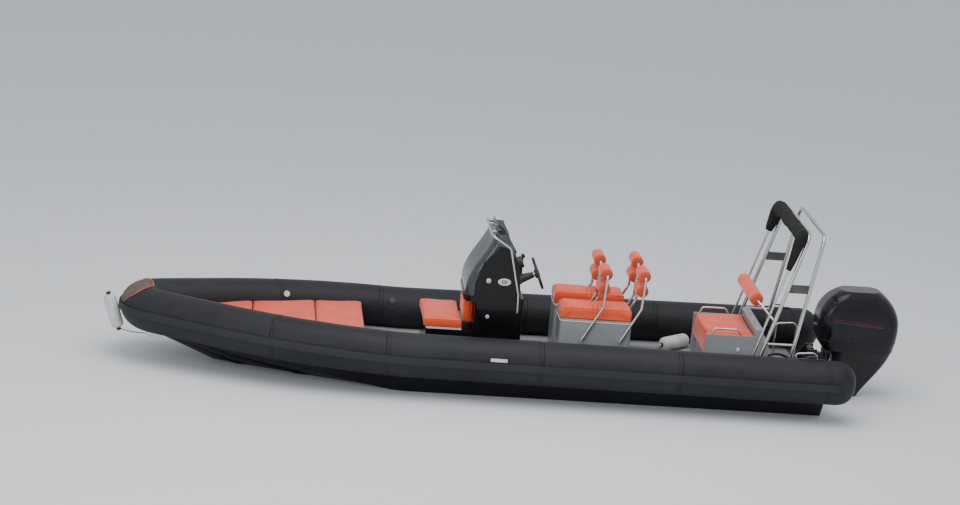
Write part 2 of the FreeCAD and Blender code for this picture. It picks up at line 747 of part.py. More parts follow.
def console_seat():
    lid_bottom = SEAT_BOX_TOP - SEAT_LID
    box = block(SEAT_BOX_FRONT, CONSOLE_FRONT, -SEAT_BOX_HALF, SEAT_BOX_HALF, DECK_Z, lid_bottom)
    front_edges = lambda e: upright(e) and e.CenterOfMass.x < SEAT_BOX_FRONT + 1
    keep("console_seat", rounded(box, CONSOLE_CORNER, front_edges))
    lid = block(SEAT_BOX_FRONT, SEAT_CUSHION_BACK, -SEAT_BOX_HALF, SEAT_BOX_HALF, lid_bottom, SEAT_BOX_TOP)
    keep("console_seat_lid", rounded(lid, CONSOLE_CORNER, front_edges))
    top = SEAT_BOX_TOP + CUSHION_THICKNESS
    pad = block(SEAT_BOX_FRONT - 28, SEAT_CUSHION_BACK, -SEAT_BOX_HALF, SEAT_BOX_HALF, SEAT_BOX_TOP, top)
    keep("console_seat_cushion", rounded(pad, CUSHION_EDGE, lambda e: e.CenterOfMass.z > top - 1))
    front = CONSOLE_FRONT - BACK_PAD_THICKNESS
    back = block(front, CONSOLE_FRONT, -BACK_PAD_HALF, BACK_PAD_HALF, BACK_PAD_BOTTOM, BACK_PAD_TOP)
    keep("console_backrest", rounded(back, CUSHION_EDGE, lambda e: e.CenterOfMass.x < front + 1))


def helm():
    axis = V(cos(radians(WHEEL_TILT)), 0, sin(radians(WHEEL_TILT)))
    centre = V(WHEEL_X, HELM_Y, WHEEL_Z)
    rim_radius = (WHEEL_DIAMETER - WHEEL_RIM) / 2
    rim = Part.makeTorus(rim_radius, WHEEL_RIM / 2, centre, axis)
    hub_start, hub_end = WHEEL_HUB_ENDS
    hub = rod(centre + axis * hub_start, centre + axis * hub_end, WHEEL_HUB)
    across = V(0, 1, 0)
    pieces = [rim, hub]
    for number in range(WHEEL_SPOKES):
        turned = FreeCAD.Rotation(axis, 90 + number * 360 / WHEEL_SPOKES)
        spoke = turned.multVec(across)
        pieces.append(rod(centre, centre + spoke * rim_radius, WHEEL_SPOKE))
    keep("steering_wheel", fused(pieces))

    dash_back = max(x for x, _ in DASH_PROFILE)
    column_end = centre + axis * (hub_start - COLUMN_GAP)
    length = column_end.x - dash_back + 2 * DASH_CORNER
    wide, narrow = COLUMN_DIAMETERS
    column = Part.makeCone(wide / 2, narrow / 2, length, column_end - axis * length, axis)
    column = column.cut(NODES["dash"]).cut(NODES["console"])
    keep("helm_column", max(column.Solids, key=lambda s: s.CenterOfMass.x))

    face = V(COMPASS_X, COMPASS_Y, WHEEL_Z + COMPASS_RISE)
    compass = rod(face - axis * COMPASS_DIAMETER, face, COMPASS_DIAMETER)
    compass = rounded(compass, DASH_CORNER / 2, lambda e: e.CenterOfMass.x > COMPASS_X - 5)
    keep("compass", max(compass.cut(NODES["dash"]).Solids, key=lambda s: s.CenterOfMass.x))

    along, wide, high = THROTTLE_BASE
    back = dash_back + along / 3
    base = block(0, back, THROTTLE_Y - wide / 2, THROTTLE_Y + wide / 2,
                 THROTTLE_Z - high / 2, THROTTLE_Z + high / 2)
    diameter, reach = THROTTLE_LEVER
    pivot = V(back - diameter, THROTTLE_Y, THROTTLE_Z)
    grip = pivot + axis * diameter + UP * reach
    lever = rod(pivot, grip, diameter)
    knob = rod(grip - V(0, wide / 2, 0), grip + V(0, wide / 2, 0), THROTTLE_GRIP)
    throttle = fused([base, lever, knob]).cut(NODES["dash"])
    keep("throttle", max(throttle.Solids, key=lambda s: s.CenterOfMass.x))


def pods():
    for name, y in (("port", -POD_Y), ("starboard", POD_Y)):
        base = block(POD_FRONT, POD_BACK, y - POD_HALF, y + POD_HALF, DECK_Z, POD_TOP)
        keep("pod_" + name, rounded(base, POD_CORNER, upright))
        saddle = block(POD_FRONT - 5, POD_BACK, y - SADDLE_HALF, y + SADDLE_HALF, POD_TOP, SADDLE_TOP)
        keep("saddle_" + name, rounded(saddle, 55, lambda e: e.CenterOfMass.z > SADDLE_TOP - 1))
        frames, rollers = [], []
        for upper_x in UPPER_ROLLERS:
            reach = POD_HALF + FRAME_STANDOFF
            side = [V(upper_x + x, y + reach, ROLLER_Z + z) for x, z in FRAME_POINTS]
            other = [V(p.x, y - reach, p.z) for p in reversed(side)]
            frame = [bent_rod(side + other, FRAME_DIAMETER, FRAME_BEND)]
            lower = V(upper_x - ROLLER_AHEAD, y, ROLLER_Z - ROLLER_DROP)
            frame.append(rod(lower + V(0, -reach, 0), lower + V(0, reach, 0), ROLLER_BAR))
            foot = side[0] + (side[1] - side[0]).normalize() * FRAME_DIAMETER
            for sign in (-1, 1):
                wall = V(foot.x, y + sign * POD_HALF, foot.z)
                frame.append(rod(wall, V(foot.x, y + sign * reach, foot.z), FRAME_FOOT))
            frames.append(fused(frame))
            half = V(0, ROLLER_HALF, 0)
            for axis, bar in ((V(upper_x, y, ROLLER_Z), FRAME_DIAMETER), (lower, ROLLER_BAR)):
                roller = rod(axis - half, axis + half, ROLLER_DIAMETER)
                rollers.append(roller.cut(rod(axis - half * 2, axis + half * 2, bar + 2 * SEAT)))
        keep("backrest_frames_" + name, Part.makeCompound(frames))
        keep("backrest_rollers_" + name, Part.makeCompound(rollers))


def stern_seat():
    coaming = BENCH_CUSHION_BACK + CUSHION_GAP
    profile = [(BENCH_FRONT, DECK_Z), (BENCH_BACK, DECK_Z), (BENCH_BACK, BENCH_SHELF),
               (COAMING_BACK, BENCH_SHELF), (COAMING_BACK, COAMING_TOP), (coaming, COAMING_TOP),
               (coaming, BENCH_TOP), (BENCH_FRONT, BENCH_TOP)]
    bench = prism_across(profile, -BENCH_HALF, BENCH_HALF)
    bench = rounded(bench, COAMING_EDGE, lambda e: e.CenterOfMass.z > COAMING_TOP - 1)
    top = BENCH_TOP + CUSHION_THICKNESS
    front = BENCH_FRONT - BENCH_DROP_THICKNESS
    cheek_top = top - CHEEK_DROP
    inside = BENCH_HALF - BENCH_CHEEK
    cheeks = both_sides(block(front, coaming, inside, BENCH_HALF, DECK_Z, cheek_top))
    keep("stern_bench", fused([bench] + cheeks.Solids))
    pad = [(front, top), (BENCH_CUSHION_BACK, top), (BENCH_CUSHION_BACK, BENCH_TOP), (BENCH_FRONT, BENCH_TOP),
           (BENCH_FRONT, top - BENCH_DROP), (front, top - BENCH_DROP)]
    pad = prism_across(pad, SEAT - inside, inside - SEAT)
    outside = lambda e: e.CenterOfMass.z > top - 1 or (e.CenterOfMass.x < front + 1)
    keep("stern_cushion", rounded(pad, BENCH_PAD_EDGE, outside))

    middle = BENCH_HALF - BENCH_CHEEK / 2
    side = [V(x, middle, cheek_top + z) for x, z in BENCH_RAIL]
    lower = [side[0] + (side[0] - side[1]) * 0.5] + side[1:-1] + [side[-1] + (side[-1] - side[-2]) * 0.5]
    rail = bent_rod(lower, BENCH_RAIL_DIAMETER, BENCH_RAIL_BEND)
    rail = rail.cut(block(front, coaming, 0, 2 * BENCH_HALF, DECK_Z, cheek_top))
    keep("bench_rails", both_sides(rail))


def hoop_half(foot_x, top_x, z):
    """X and half-width of a hoop's leg at a height."""
    share = (z - DECK_Z) / (ARCH_TOP_Z - DECK_Z)
    return foot_x + (top_x - foot_x) * share, ARCH_FOOT_HALF + (ARCH_TOP_HALF - ARCH_FOOT_HALF) * share


def front_leg(z, ahead=0):
    x, half = hoop_half(ARCH_FRONT_FOOT_X, ARCH_FRONT_TOP_X, z)
    return V(x - ahead, half, z)


def rear_leg(z):
    x, half = hoop_half(ARCH_REAR_FOOT_X, ARCH_REAR_TOP_X, z)
    return V(x, half, z)


def flip(point):
    return V(point.x, -point.y, point.z)


def arch():
    for name, leg in (("arch_front_hoop", front_leg), ("arch_rear_hoop", rear_leg)):
        corners = [leg(DECK_Z), leg(ARCH_TOP_Z), flip(leg(ARCH_TOP_Z)), flip(leg(DECK_Z))]
        direction = (corners[1] - corners[0]).normalize()
        below = block(0, 2 * TRANSOM_X, -STERN_HALF_SPACING, STERN_HALF_SPACING, -DECK_Z, DECK_Z)
        corners[0] = corners[0] - direction * 60
        corners[-1] = flip(corners[0])
        hoop = bent_rod(corners, ARCH_TUBE, ARCH_BEND).cut(below)
        foot = rod(leg(DECK_Z), leg(DECK_Z) + UP * FLANGE_THICKNESS, FLANGE_DIAMETER)
        keep(name, fused([hoop, foot, mirrored(foot)]))
    hoops = [NODES["arch_front_hoop"], NODES["arch_rear_hoop"]]
    ahead, behind = front_leg(STEP_Z), rear_leg(STEP_Z)
    step = block(ahead.x, behind.x, ahead.y - STEP_THICKNESS / 2, ahead.y + STEP_THICKNESS / 2,
                 STEP_Z - STEP_HEIGHT / 2, STEP_Z + STEP_HEIGHT / 2)
    rung = rod(front_leg(RUNG_Z), rear_leg(RUNG_Z), RUNG_DIAMETER)
    for name, piece in (("arch_steps", step), ("arch_rungs", rung)):
        for hoop in hoops:
            piece = piece.cut(hoop)
        piece = max(piece.Solids, key=lambda s: s.Volume)
        keep(name, both_sides(piece))
    side = [V(x, WELL_RAIL_Y, DECK_Z + z) for x, z in WELL_RAIL]
    rail = bent_rod(side, WELL_RAIL_DIAMETER, WELL_RAIL_BEND)
    keep("well_rails", both_sides(rail))
    hoses = []
    for y in HOSE_YS:
        route = [V(BENCH_BACK + x, y, DECK_Z + z) for x, z in HOSE_POINTS]
        hoses.append(bent_rod(route, HOSE_DIAMETER, HOSE_BEND))
    keep("rigging_hoses", Part.makeCompound(hoses))


def canopy():
    foot = front_leg(CANOPY_FOOT_Z, CANOPY_AHEAD)
    top = front_leg(ARCH_TOP_Z, CANOPY_AHEAD) + UP * CANOPY_OVER
    corners = [foot, top, flip(top), flip(foot)]
    bow = bent_rod(corners, CANOPY_BOW, COVER_BEND)
    leg = front_leg(CANOPY_FOOT_Z + 20)
    lug = rod(V(leg.x - CANOPY_AHEAD, leg.y, leg.z), leg, 20).cut(NODES["arch_front_hoop"])
    lug = min(lug.Solids, key=lambda s: s.CenterOfMass.x)
    keep("canopy_bow", fused([bow, lug, mirrored(lug)]))

    def on_leg(z):
        return foot + (top - foot) * ((z - foot.z) / (top.z - foot.z))

    arms = bent_rod([on_leg(COVER_BOTTOM_STARBOARD), top, flip(top), flip(on_leg(COVER_BOTTOM_PORT))],
                    COVER_DIAMETER, COVER_BEND)
    middle = V(top.x, COVER_BUNDLE_HALF, top.z)
    roll = rod(flip(middle), middle, COVER_BUNDLE)
    roll = rounded(roll, COVER_BUNDLE / 5, lambda e: isinstance(e.Curve, Part.Circle))
    bundle = fused([arms, roll])
    space = bent_rod(corners, CANOPY_BOW + 2 * SEAT, COVER_BEND)
    for hoop in ("arch_front_hoop", "arch_rear_hoop"):
        bundle = bundle.cut(NODES[hoop])
    bundle = bundle.cut(space)
    keep("canopy_cover", max(bundle.Solids, key=lambda s: s.Volume))


def bolster():
    leg = front_leg(BOLSTER_Z - 150)
    end = V(BOLSTER_X, BOLSTER_HALF + 45, BOLSTER_Z)
    corners = [leg, end, flip(end), flip(leg)]
    bar = bent_rod(corners, BOLSTER_BAR, 40).cut(NODES["arch_front_hoop"])
    bar = max(bar.Solids, key=lambda s: s.Volume)
    keep("bolster_bar", bar)
    low, high = V(BOLSTER_X, -BOLSTER_HALF, BOLSTER_Z), V(BOLSTER_X, BOLSTER_HALF, BOLSTER_Z)
    roll = rod(low, high, BOLSTER_DIAMETER)
    roll = rounded(roll, 20, lambda e: abs(abs(e.CenterOfMass.y) - BOLSTER_HALF) < 1)
    keep("stern_bolster", roll.cut(rod(low * 1.2 - V(BOLSTER_X, 0, BOLSTER_Z) * 0.2,
                                       high * 1.2 - V(BOLSTER_X, 0, BOLSTER_Z) * 0.2, BOLSTER_BAR + 2 * SEAT)))


def fender_shape(length, diameter):
    """A fender along +Z: a round body with a neck at each end."""
    body = Part.makeCylinder(diameter / 2, length)
    body = rounded(body, diameter * 0.32, lambda e: isinstance(e.Curve, Part.Circle))
    neck = Part.makeCylinder(FENDER_NECK / 2, FENDER_NECK_LENGTH + 10)
    lower, upper = neck.copy(), neck.copy()
    lower.translate(V(0, 0, -FENDER_NECK_LENGTH))
    upper.translate(V(0, 0, length - 10))
    return fused([body, lower, upper])


def bow_gear():
    # The fender leans on the lower edge of the strake, at the nose
    lean = radians(FENDER_TILT)
    along = V(-sin(lean), 0, cos(lean))
    normal = ROUTE[-1]["up"]
    ahead = V(-normal.z, 0, normal.x)
    edge = leg_point(ROUTE[-1], 1) + ahead * (TUBE_RADIUS + STRAKE_THICKNESS) * cos(STRAKE_HALF_ANGLE)
    edge = edge - normal * (TUBE_RADIUS + STRAKE_THICKNESS) * sin(STRAKE_HALF_ANGLE)
    beside = edge + V(-cos(lean), 0, -sin(lean)) * (FENDER_DIAMETER / 2 + SEAT)
    foot = beside + along * ((FENDER_TOP_Z - beside.z) / along.z - FENDER_LENGTH)
    shape = fender_shape(FENDER_LENGTH, FENDER_DIAMETER)
    shape.rotate(V(0, 0, 0), V(0, 1, 0), -FENDER_TILT)
    shape.translate(foot)
    keep("bow_fender", shape)

    eye = V(EYE_X, 0, EYE_Z)
    half = V(0, EYE_THICKNESS / 2, 0)
    ring = rod(eye - half, eye + half, EYE_OUTER)
    arm = prism_across([(EYE_X, EYE_Z + EYE_OUTER / 2), (EYE_X + 90, EYE_Z + 60), (EYE_X + 130, EYE_Z - 40),
                        (EYE_X, EYE_Z - EYE_OUTER / 2)], -EYE_THICKNESS / 2, EYE_THICKNESS / 2)
    lug = fused([ring, arm]).cut(rod(eye - half * 2, eye + half * 2, EYE_BORE)).cut(NODES["hull"])
    keep("bow_eye", min(lug.Solids, key=lambda s: s.CenterOfMass.x))

    line = rod(foot - along * FENDER_NECK_LENGTH / 2, V(EYE_X - EYE_OUTER / 2 + 4, 0, EYE_Z), LINE_DIAMETER)
    line = line.cut(NODES["bow_fender"]).cut(NODES["bow_eye"])
    keep("bow_fender_line", max(line.Solids, key=lambda s: s.Volume))


def deck_gear():
    x, y, length, diameter, heading = DECK_FENDER
    shape = fender_shape(length, diameter)
    shape.translate(V(0, 0, -length / 2))
    shape.rotate(V(0, 0, 0), V(0, 1, 0), 90)
    shape.rotate(V(0, 0, 0), UP, heading)
    shape.translate(V(x, y, DECK_Z + diameter / 2 + SEAT))
    keep("deck_fender", shape)


def outboard():
    pin_start = V(TILT_X, -CLAMP_PLATE_Y - CLAMP_PLATE, TILT_Z)
    pin_end = V(TILT_X, CLAMP_PLATE_Y + CLAMP_PLATE, TILT_Z)
    profile = [(TRANSOM_X, 40), (TRANSOM_X + 70, 40), (TRANSOM_X + 85, 250), (TRANSOM_X + 60, TILT_Z + 40),
               (TRANSOM_X - 20, TILT_Z + 40), (TRANSOM_X - TRANSOM_THICKNESS - CLAMP_HOOK, TRANSOM_TOP + 50),
               (TRANSOM_X - TRANSOM_THICKNESS - CLAMP_HOOK, TRANSOM_TOP - 90),
               (TRANSOM_X - TRANSOM_THICKNESS, TRANSOM_TOP - 90), (TRANSOM_X - TRANSOM_THICKNESS, TRANSOM_TOP),
               (TRANSOM_X, TRANSOM_TOP)]
    plate = prism_across(profile, CLAMP_PLATE_Y, CLAMP_PLATE_Y + CLAMP_PLATE)
    pin = rod(pin_start, pin_end, TILT_TUBE)
    keep("clamp_bracket", fused([plate, mirrored(plate), pin]))

    eye = rod(V(TILT_X, -SWIVEL_HALF, TILT_Z), V(TILT_X, SWIVEL_HALF, TILT_Z), TILT_TUBE + 40)
    boss = rod(V(STEER_X, 0, SWIVEL_BOTTOM), V(STEER_X, 0, SWIVEL_TOP), SWIVEL_BOSS)
    web = prism_across([(TILT_X, TILT_Z - 35), (TILT_X, TILT_Z + 30), (TILT_X + 50, SWIVEL_TOP),
                        (STEER_X, SWIVEL_TOP), (STEER_X, 60), (TRANSOM_X + 60, 200)],
                       -SWIVEL_HALF * 0.6, SWIVEL_HALF * 0.6)
    swivel = fused([eye, boss, web])
    swivel = swivel.cut(rod(pin_start, pin_end, TILT_TUBE + 2 * RUNNING))
    swivel = swivel.cut(rod(V(STEER_X, 0, -500), V(STEER_X, 0, 900), STEER_SHAFT + 2 * RUNNING))
    swivel = swivel.cut(block(TRANSOM_X - 200, TRANSOM_X + 8, -300, 300, 0, TRANSOM_TOP + 8))
    keep("swivel_bracket", max(swivel.Solids, key=lambda s: s.Volume))

    # Steered parts
    shaft = rod(V(STEER_X, 0, SWIVEL_BOTTOM - 45), V(STEER_X, 0, SWIVEL_TOP + 45), STEER_SHAFT)
    top_arm = block(STEER_X - 40, STEER_X + 160, -55, 55, SWIVEL_TOP + 6, SWIVEL_TOP + 45)
    low_arm = block(STEER_X - 40, STEER_X + 160, -55, 55, SWIVEL_BOTTOM - 46, SWIVEL_BOTTOM - 6)
    keep("driveshaft_housing", fused([loft_of(LEG_SECTIONS), shaft, top_arm, low_arm]))

    strut = loft_of(STRUT_SECTIONS)
    plate = Part.Face(rounded_outline(3640, 4110, 120, 60, PLATE_Z - 14)).extrude(V(0, 0, 14))
    case_end = PROP_X - PROP_HUB_LENGTH / 2 - PROP_GAP
    radius = PROP_HUB / 2
    start = V(STEER_X, 0, PROP_Z)
    bullet = Part.Face(Part.Wire([
        Part.Arc(start, start + V(NOSE_CONE * 0.3, 0, radius * 0.72),
                 start + V(NOSE_CONE, 0, radius)).toShape(),
        Part.makeLine(start + V(NOSE_CONE, 0, radius), V(case_end, 0, PROP_Z + radius)),
        Part.makeLine(V(case_end, 0, PROP_Z + radius), V(case_end, 0, PROP_Z)),
        Part.makeLine(V(case_end, 0, PROP_Z), start),
    ])).revolve(start, V(1, 0, 0), 360)
    skeg = prism_across([(x, PROP_Z + z) for x, z in SKEG], -SKEG_THICKNESS / 2, SKEG_THICKNESS / 2)
    above = block(3000, 5000, -500, 500, PLATE_Z, 500)
    keep("gearcase", fused([strut, plate, bullet, skeg]).cut(above))

    hub_start = V(PROP_X - PROP_HUB_LENGTH / 2, 0, PROP_Z)
    hub_end = hub_start + V(PROP_HUB_LENGTH, 0, 0)
    blade = propeller_blade()
    blades = [rod(hub_start, hub_end, PROP_HUB)]
    for number in range(PROP_BLADES):
        turned = blade.copy()
        turned.rotate(V(0, 0, 0), V(1, 0, 0), number * 360 / PROP_BLADES)
        turned.translate(V(PROP_X, 0, PROP_Z))
        blades.append(turned)
    exhaust = rod(hub_end - V(EXHAUST_DEPTH, 0, 0), hub_end + V(1, 0, 0), EXHAUST_BORE)
    keep("propeller", fused(blades).cut(exhaust))

    keep("lower_cowl", loft_of(PAN_SECTIONS))
    outer = loft_of(COWL_SECTIONS + ((COWL_TOP_Z,) + COWL_TOP,))
    inner = [(z, x0 + COWL_WALL, x1 - COWL_WALL, half - COWL_WALL, corner - COWL_WALL)
             for z, x0, x1, half, corner in COWL_SECTIONS]
    inner.append((COWL_TOP_Z - COWL_WALL,) + COWL_TOP)
    keep("upper_cowl", outer.cut(loft_of(inner)))
    x0, x1, half, z1 = POWERHEAD
    keep("powerhead", block(x0, x1, -half, half, COWL_SPLIT_Z - 4, z1))


def propeller_blade():
    """One blade along +Z: lens sections whose pitch angle falls towards the tip."""
    wires = []
    for radius, chord, thickness, aft in BLADE_SECTIONS:
        pitch = atan(BLADE_PITCH / (2 * pi * radius))
        along = V(sin(pitch), cos(pitch), 0)
        across = V(cos(pitch), -sin(pitch), 0)
        middle = V(aft, 0, radius)
        lead, trail = middle + along * (chord / 2), middle - along * (chord / 2)
        back = Part.Arc(lead, middle + across * thickness, trail).toShape()
        face = Part.Arc(trail, middle + across * (thickness / 4), lead).toShape()
        wires.append(Part.Wire([back, face]))
    return Part.makeLoft(wires, True, False)


def loft_of(sections):
    """A smooth loft through level rounded rectangles."""
    wires = [rounded_outline(x0, x1, half, corner, z) for z, x0, x1, half, corner in sections]
    return Part.makeLoft(wires, True, False)


def build():
    tubes()
    keep("hull", hull())
    keep("deck", deck_plate())
    bow_seat()
    console_parts()
    console_seat()
    helm()
    pods()
    stern_seat()
    arch()
    canopy()
    bolster()
    bow_gear()
    deck_gear()
    outboard()


def export():
    os.makedirs("parts", exist_ok=True)
    for name, shape in NODES.items():
        shape.exportStep("parts/" + name + ".step")
        volume = sum(solid.Volume for solid in shape.Solids) / 1e9
        print(f"{name:28s} solids {len(shape.Solids)} valid {shape.isValid()} volume {volume:.5f} m3")


build()
export()
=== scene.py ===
# %% [markdown]
# # Dressing a rigid inflatable boat
# The solids of the boat come packed as a fixed frame, in metres, level, with the waterline at z = 0 and
# the bow towards -X. This lesson gives them their finishes and adds what is soft, thin or sewn.

# %% Load the frame
import bpy
import bmesh
import json
import math
from mathutils import Matrix, Vector, noise


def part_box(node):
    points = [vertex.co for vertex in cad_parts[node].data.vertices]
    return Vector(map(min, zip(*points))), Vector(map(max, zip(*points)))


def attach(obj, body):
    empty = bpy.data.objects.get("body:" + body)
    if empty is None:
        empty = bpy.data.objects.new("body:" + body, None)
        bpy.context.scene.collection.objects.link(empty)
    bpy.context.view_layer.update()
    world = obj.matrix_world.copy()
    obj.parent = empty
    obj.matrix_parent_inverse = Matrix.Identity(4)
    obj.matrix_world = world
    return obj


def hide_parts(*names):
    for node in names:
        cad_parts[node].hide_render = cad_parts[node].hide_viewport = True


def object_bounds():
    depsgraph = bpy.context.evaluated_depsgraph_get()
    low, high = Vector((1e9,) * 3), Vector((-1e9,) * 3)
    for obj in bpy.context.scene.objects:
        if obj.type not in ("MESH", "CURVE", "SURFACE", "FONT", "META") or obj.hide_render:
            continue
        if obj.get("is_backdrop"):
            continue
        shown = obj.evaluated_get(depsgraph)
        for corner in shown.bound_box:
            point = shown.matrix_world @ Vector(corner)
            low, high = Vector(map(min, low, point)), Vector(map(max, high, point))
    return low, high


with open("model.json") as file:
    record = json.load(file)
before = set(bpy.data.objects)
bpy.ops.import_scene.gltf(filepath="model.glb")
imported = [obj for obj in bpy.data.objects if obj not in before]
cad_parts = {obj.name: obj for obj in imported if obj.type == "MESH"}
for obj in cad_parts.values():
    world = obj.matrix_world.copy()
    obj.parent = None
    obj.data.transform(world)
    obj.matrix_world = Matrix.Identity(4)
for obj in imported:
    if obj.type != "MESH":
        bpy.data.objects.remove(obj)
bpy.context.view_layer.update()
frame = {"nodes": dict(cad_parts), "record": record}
nodes = frame["nodes"]
scene = bpy.context.scene


def placed(name, data):
    """A new object in the scene."""
    piece = bpy.data.objects.new(name, data)
    scene.collection.objects.link(piece)
    return piece


# %% [markdown]
# ## Camera
# The photograph looks at the port side from a little ahead and above, with a long lens. The real boat
# lifts its bow as it planes, and the model is level, so the camera is rolled by that trim instead.

# %% Camera
PICTURE = (960, 505)
FOCAL_PIXELS = 3000.0
AZIMUTH, ELEVATION, ROLL = (math.radians(a) for a in (5.18, 13.17, -4.67))
DISTANCE = 31.69
AIM = Vector((0.0, 0.0, 0.42))
AIM_PIXELS = (11.76, 83.47)         # where the aim point lies in the picture, right of and below its middle

forward = Vector((math.sin(AZIMUTH) * math.cos(ELEVATION), math.cos(AZIMUTH) * math.cos(ELEVATION),
                  -math.sin(ELEVATION)))
level_right = Vector((math.cos(AZIMUTH), -math.sin(AZIMUTH), 0.0))
level_down = forward.cross(level_right)
right = level_right * math.cos(ROLL) + level_down * math.sin(ROLL)
down = level_down * math.cos(ROLL) - level_right * math.sin(ROLL)
place = AIM - forward * DISTANCE - (right * AIM_PIXELS[0] + down * AIM_PIXELS[1]) * DISTANCE / FOCAL_PIXELS

camera_data = bpy.data.cameras.new("camera")
camera_data.sensor_width = 36.0
camera_data.lens = FOCAL_PIXELS / PICTURE[0] * camera_data.sensor_width
camera_data.clip_end = 400.0
camera = placed("camera", camera_data)
camera.matrix_world = Matrix.Translation(place) @ Matrix((right, -down, -forward)).transposed().to_4x4()
scene.camera = camera
print("camera at", [round(v, 2) for v in place], "lens", camera_data.lens)

# %% [markdown]
# ## Cords
# A short line ties the bow fender to the mooring eye, and four hoses and cable sheaths run from the
# bench's back into the transom. Each is one smooth NURBS curve with a round bevel: it bends as a flexible
# thing does, where a bent rod would show its arcs.

# %% Cords
def curve(name, points, kind, depth, resolution):
    """A curve with one spline and a round section."""
    line = bpy.data.curves.new(name, "CURVE")
    line.dimensions = "3D"
    line.bevel_depth = depth
    line.bevel_resolution = resolution
    line.use_fill_caps = True
    spline = line.splines.new(kind)
    spline.points.add(len(points) - 1)
    for target, point in zip(spline.points, points):
        target.co = (*point, 1.0)
    return line, spline


def lay_cord(name, points, diameter):
    """A cord along one open NURBS spline. Its points carry its radius, so that its box is a true one."""
    line, spline = curve(name, points, "NURBS", 1.0, 5)
    line.resolution_u = 16
    spline.order_u = 3
    spline.use_endpoint_u = True
    for target in spline.points:
        target.radius = diameter / 2
    piece = placed(name, line)
    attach(piece, "boat")
    return piece


LINE_POINTS = [(-3.624, 0.0, 0.232), (-3.68, 0.0, 0.2325), (-3.755, 0.0, 0.237), (-3.84, 0.0, 0.251),
               (-3.890, 0.0, 0.2655)]
fender_line = lay_cord("fender_line", LINE_POINTS, 0.009)
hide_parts("bow_fender_line")

HOSE_ROUTE = [(2.870, 0.300), (2.950, 0.300), (3.050, 0.350), (3.150, 0.350), (3.250, 0.300), (3.330, 0.300)]
hoses = []
for number, y in enumerate((-0.262, -0.224, -0.186, 0.205)):
    hose = lay_cord(f"rigging_hose_{number}", [(x, y, z) for x, z in HOSE_ROUTE], 0.028)
    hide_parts("rigging_hoses")
    hoses.append(hose)
print("cords:", 1 + len(hoses))

# %% [markdown]
# ## Material helpers
# Every finish here is a Principled shader with a texture on it. The textures that several finishes share
# are node groups, built once: a weathering mask, a fine grain and a woven height.

# %% Node groups
def add_nodes(tree, *kinds):
    """New shader nodes of some kinds."""
    return [tree.nodes.new(f"ShaderNode{kind}") for kind in kinds]


def node_group(name, scale, output, *kinds):
    """A new group from a vector and a scale to one number, its links, its two ends and its inner nodes."""
    group = bpy.data.node_groups.new(name, "ShaderNodeTree")
    socket = group.interface.new_socket
    socket(name="Vector", in_out="INPUT", socket_type="NodeSocketVector")
    socket(name="Scale", in_out="INPUT", socket_type="NodeSocketFloat").default_value = scale
    socket(name=output, in_out="OUTPUT", socket_type="NodeSocketFloat")
    ends = group.nodes.new("NodeGroupInput"), group.nodes.new("NodeGroupOutput")
    return group, group.links.new, *ends, *add_nodes(group, *kinds)


def weathering_group():
    """Soft blotches with a finer break-up, from 0 to 1."""
    group, link, start, end, broad, fine, times, mix, stretch = node_group(
        "weathering", 3.0, "Mask", "TexNoise", "TexNoise", "Math", "Mix", "MapRange")
    times.operation = "MULTIPLY"
    times.inputs[1].default_value = 9.0
    mix.inputs[0].default_value = 0.35
    stretch.inputs["From Min"].default_value = 0.36
    stretch.inputs["From Max"].default_value = 0.64
    broad.inputs["Detail"].default_value = 4.0
    fine.inputs["Detail"].default_value = 3.0
    for texture in (broad, fine):
        link(start.outputs["Vector"], texture.inputs["Vector"])
    link(start.outputs["Scale"], broad.inputs["Scale"])
    link(start.outputs["Scale"], times.inputs[0])
    link(times.outputs[0], fine.inputs["Scale"])
    link(broad.outputs["Fac"], mix.inputs[2])
    link(fine.outputs["Fac"], mix.inputs[3])
    link(mix.outputs[0], stretch.inputs["Value"])
    link(stretch.outputs["Result"], end.inputs["Mask"])
    return group


def grain_group():
    """The fine pebbled height of moulded plastic, vinyl or coated cloth."""
    group, link, start, end, cells, speckle, add = node_group(
        "grain", 400.0, "Height", "TexVoronoi", "TexNoise", "Math")
    add.operation = "ADD"
    for texture in (cells, speckle):
        link(start.outputs["Vector"], texture.inputs["Vector"])
        link(start.outputs["Scale"], texture.inputs["Scale"])
    link(cells.outputs["Distance"], add.inputs[0])
    link(speckle.outputs["Fac"], add.inputs[1])
    link(add.outputs[0], end.inputs["Height"])
    return group


def weave_group():
    """Threads that cross at right angles, as a height from 0 to 1."""
    group, link, start, end, largest, *waves = node_group(
        "weave", 300.0, "Height", "Math", "TexWave", "TexWave")
    largest.operation = "MAXIMUM"
    for number, wave in enumerate(waves):
        wave.bands_direction = "XZ"[number]
        wave.inputs["Distortion"].default_value = 1.2
        link(start.outputs["Vector"], wave.inputs["Vector"])
        link(start.outputs["Scale"], wave.inputs["Scale"])
        link(wave.outputs["Fac"], largest.inputs[number])
    link(largest.outputs[0], end.inputs["Height"])
    return group


GROUPS = {"weathering": weathering_group(), "grain": grain_group(), "weave": weave_group()}


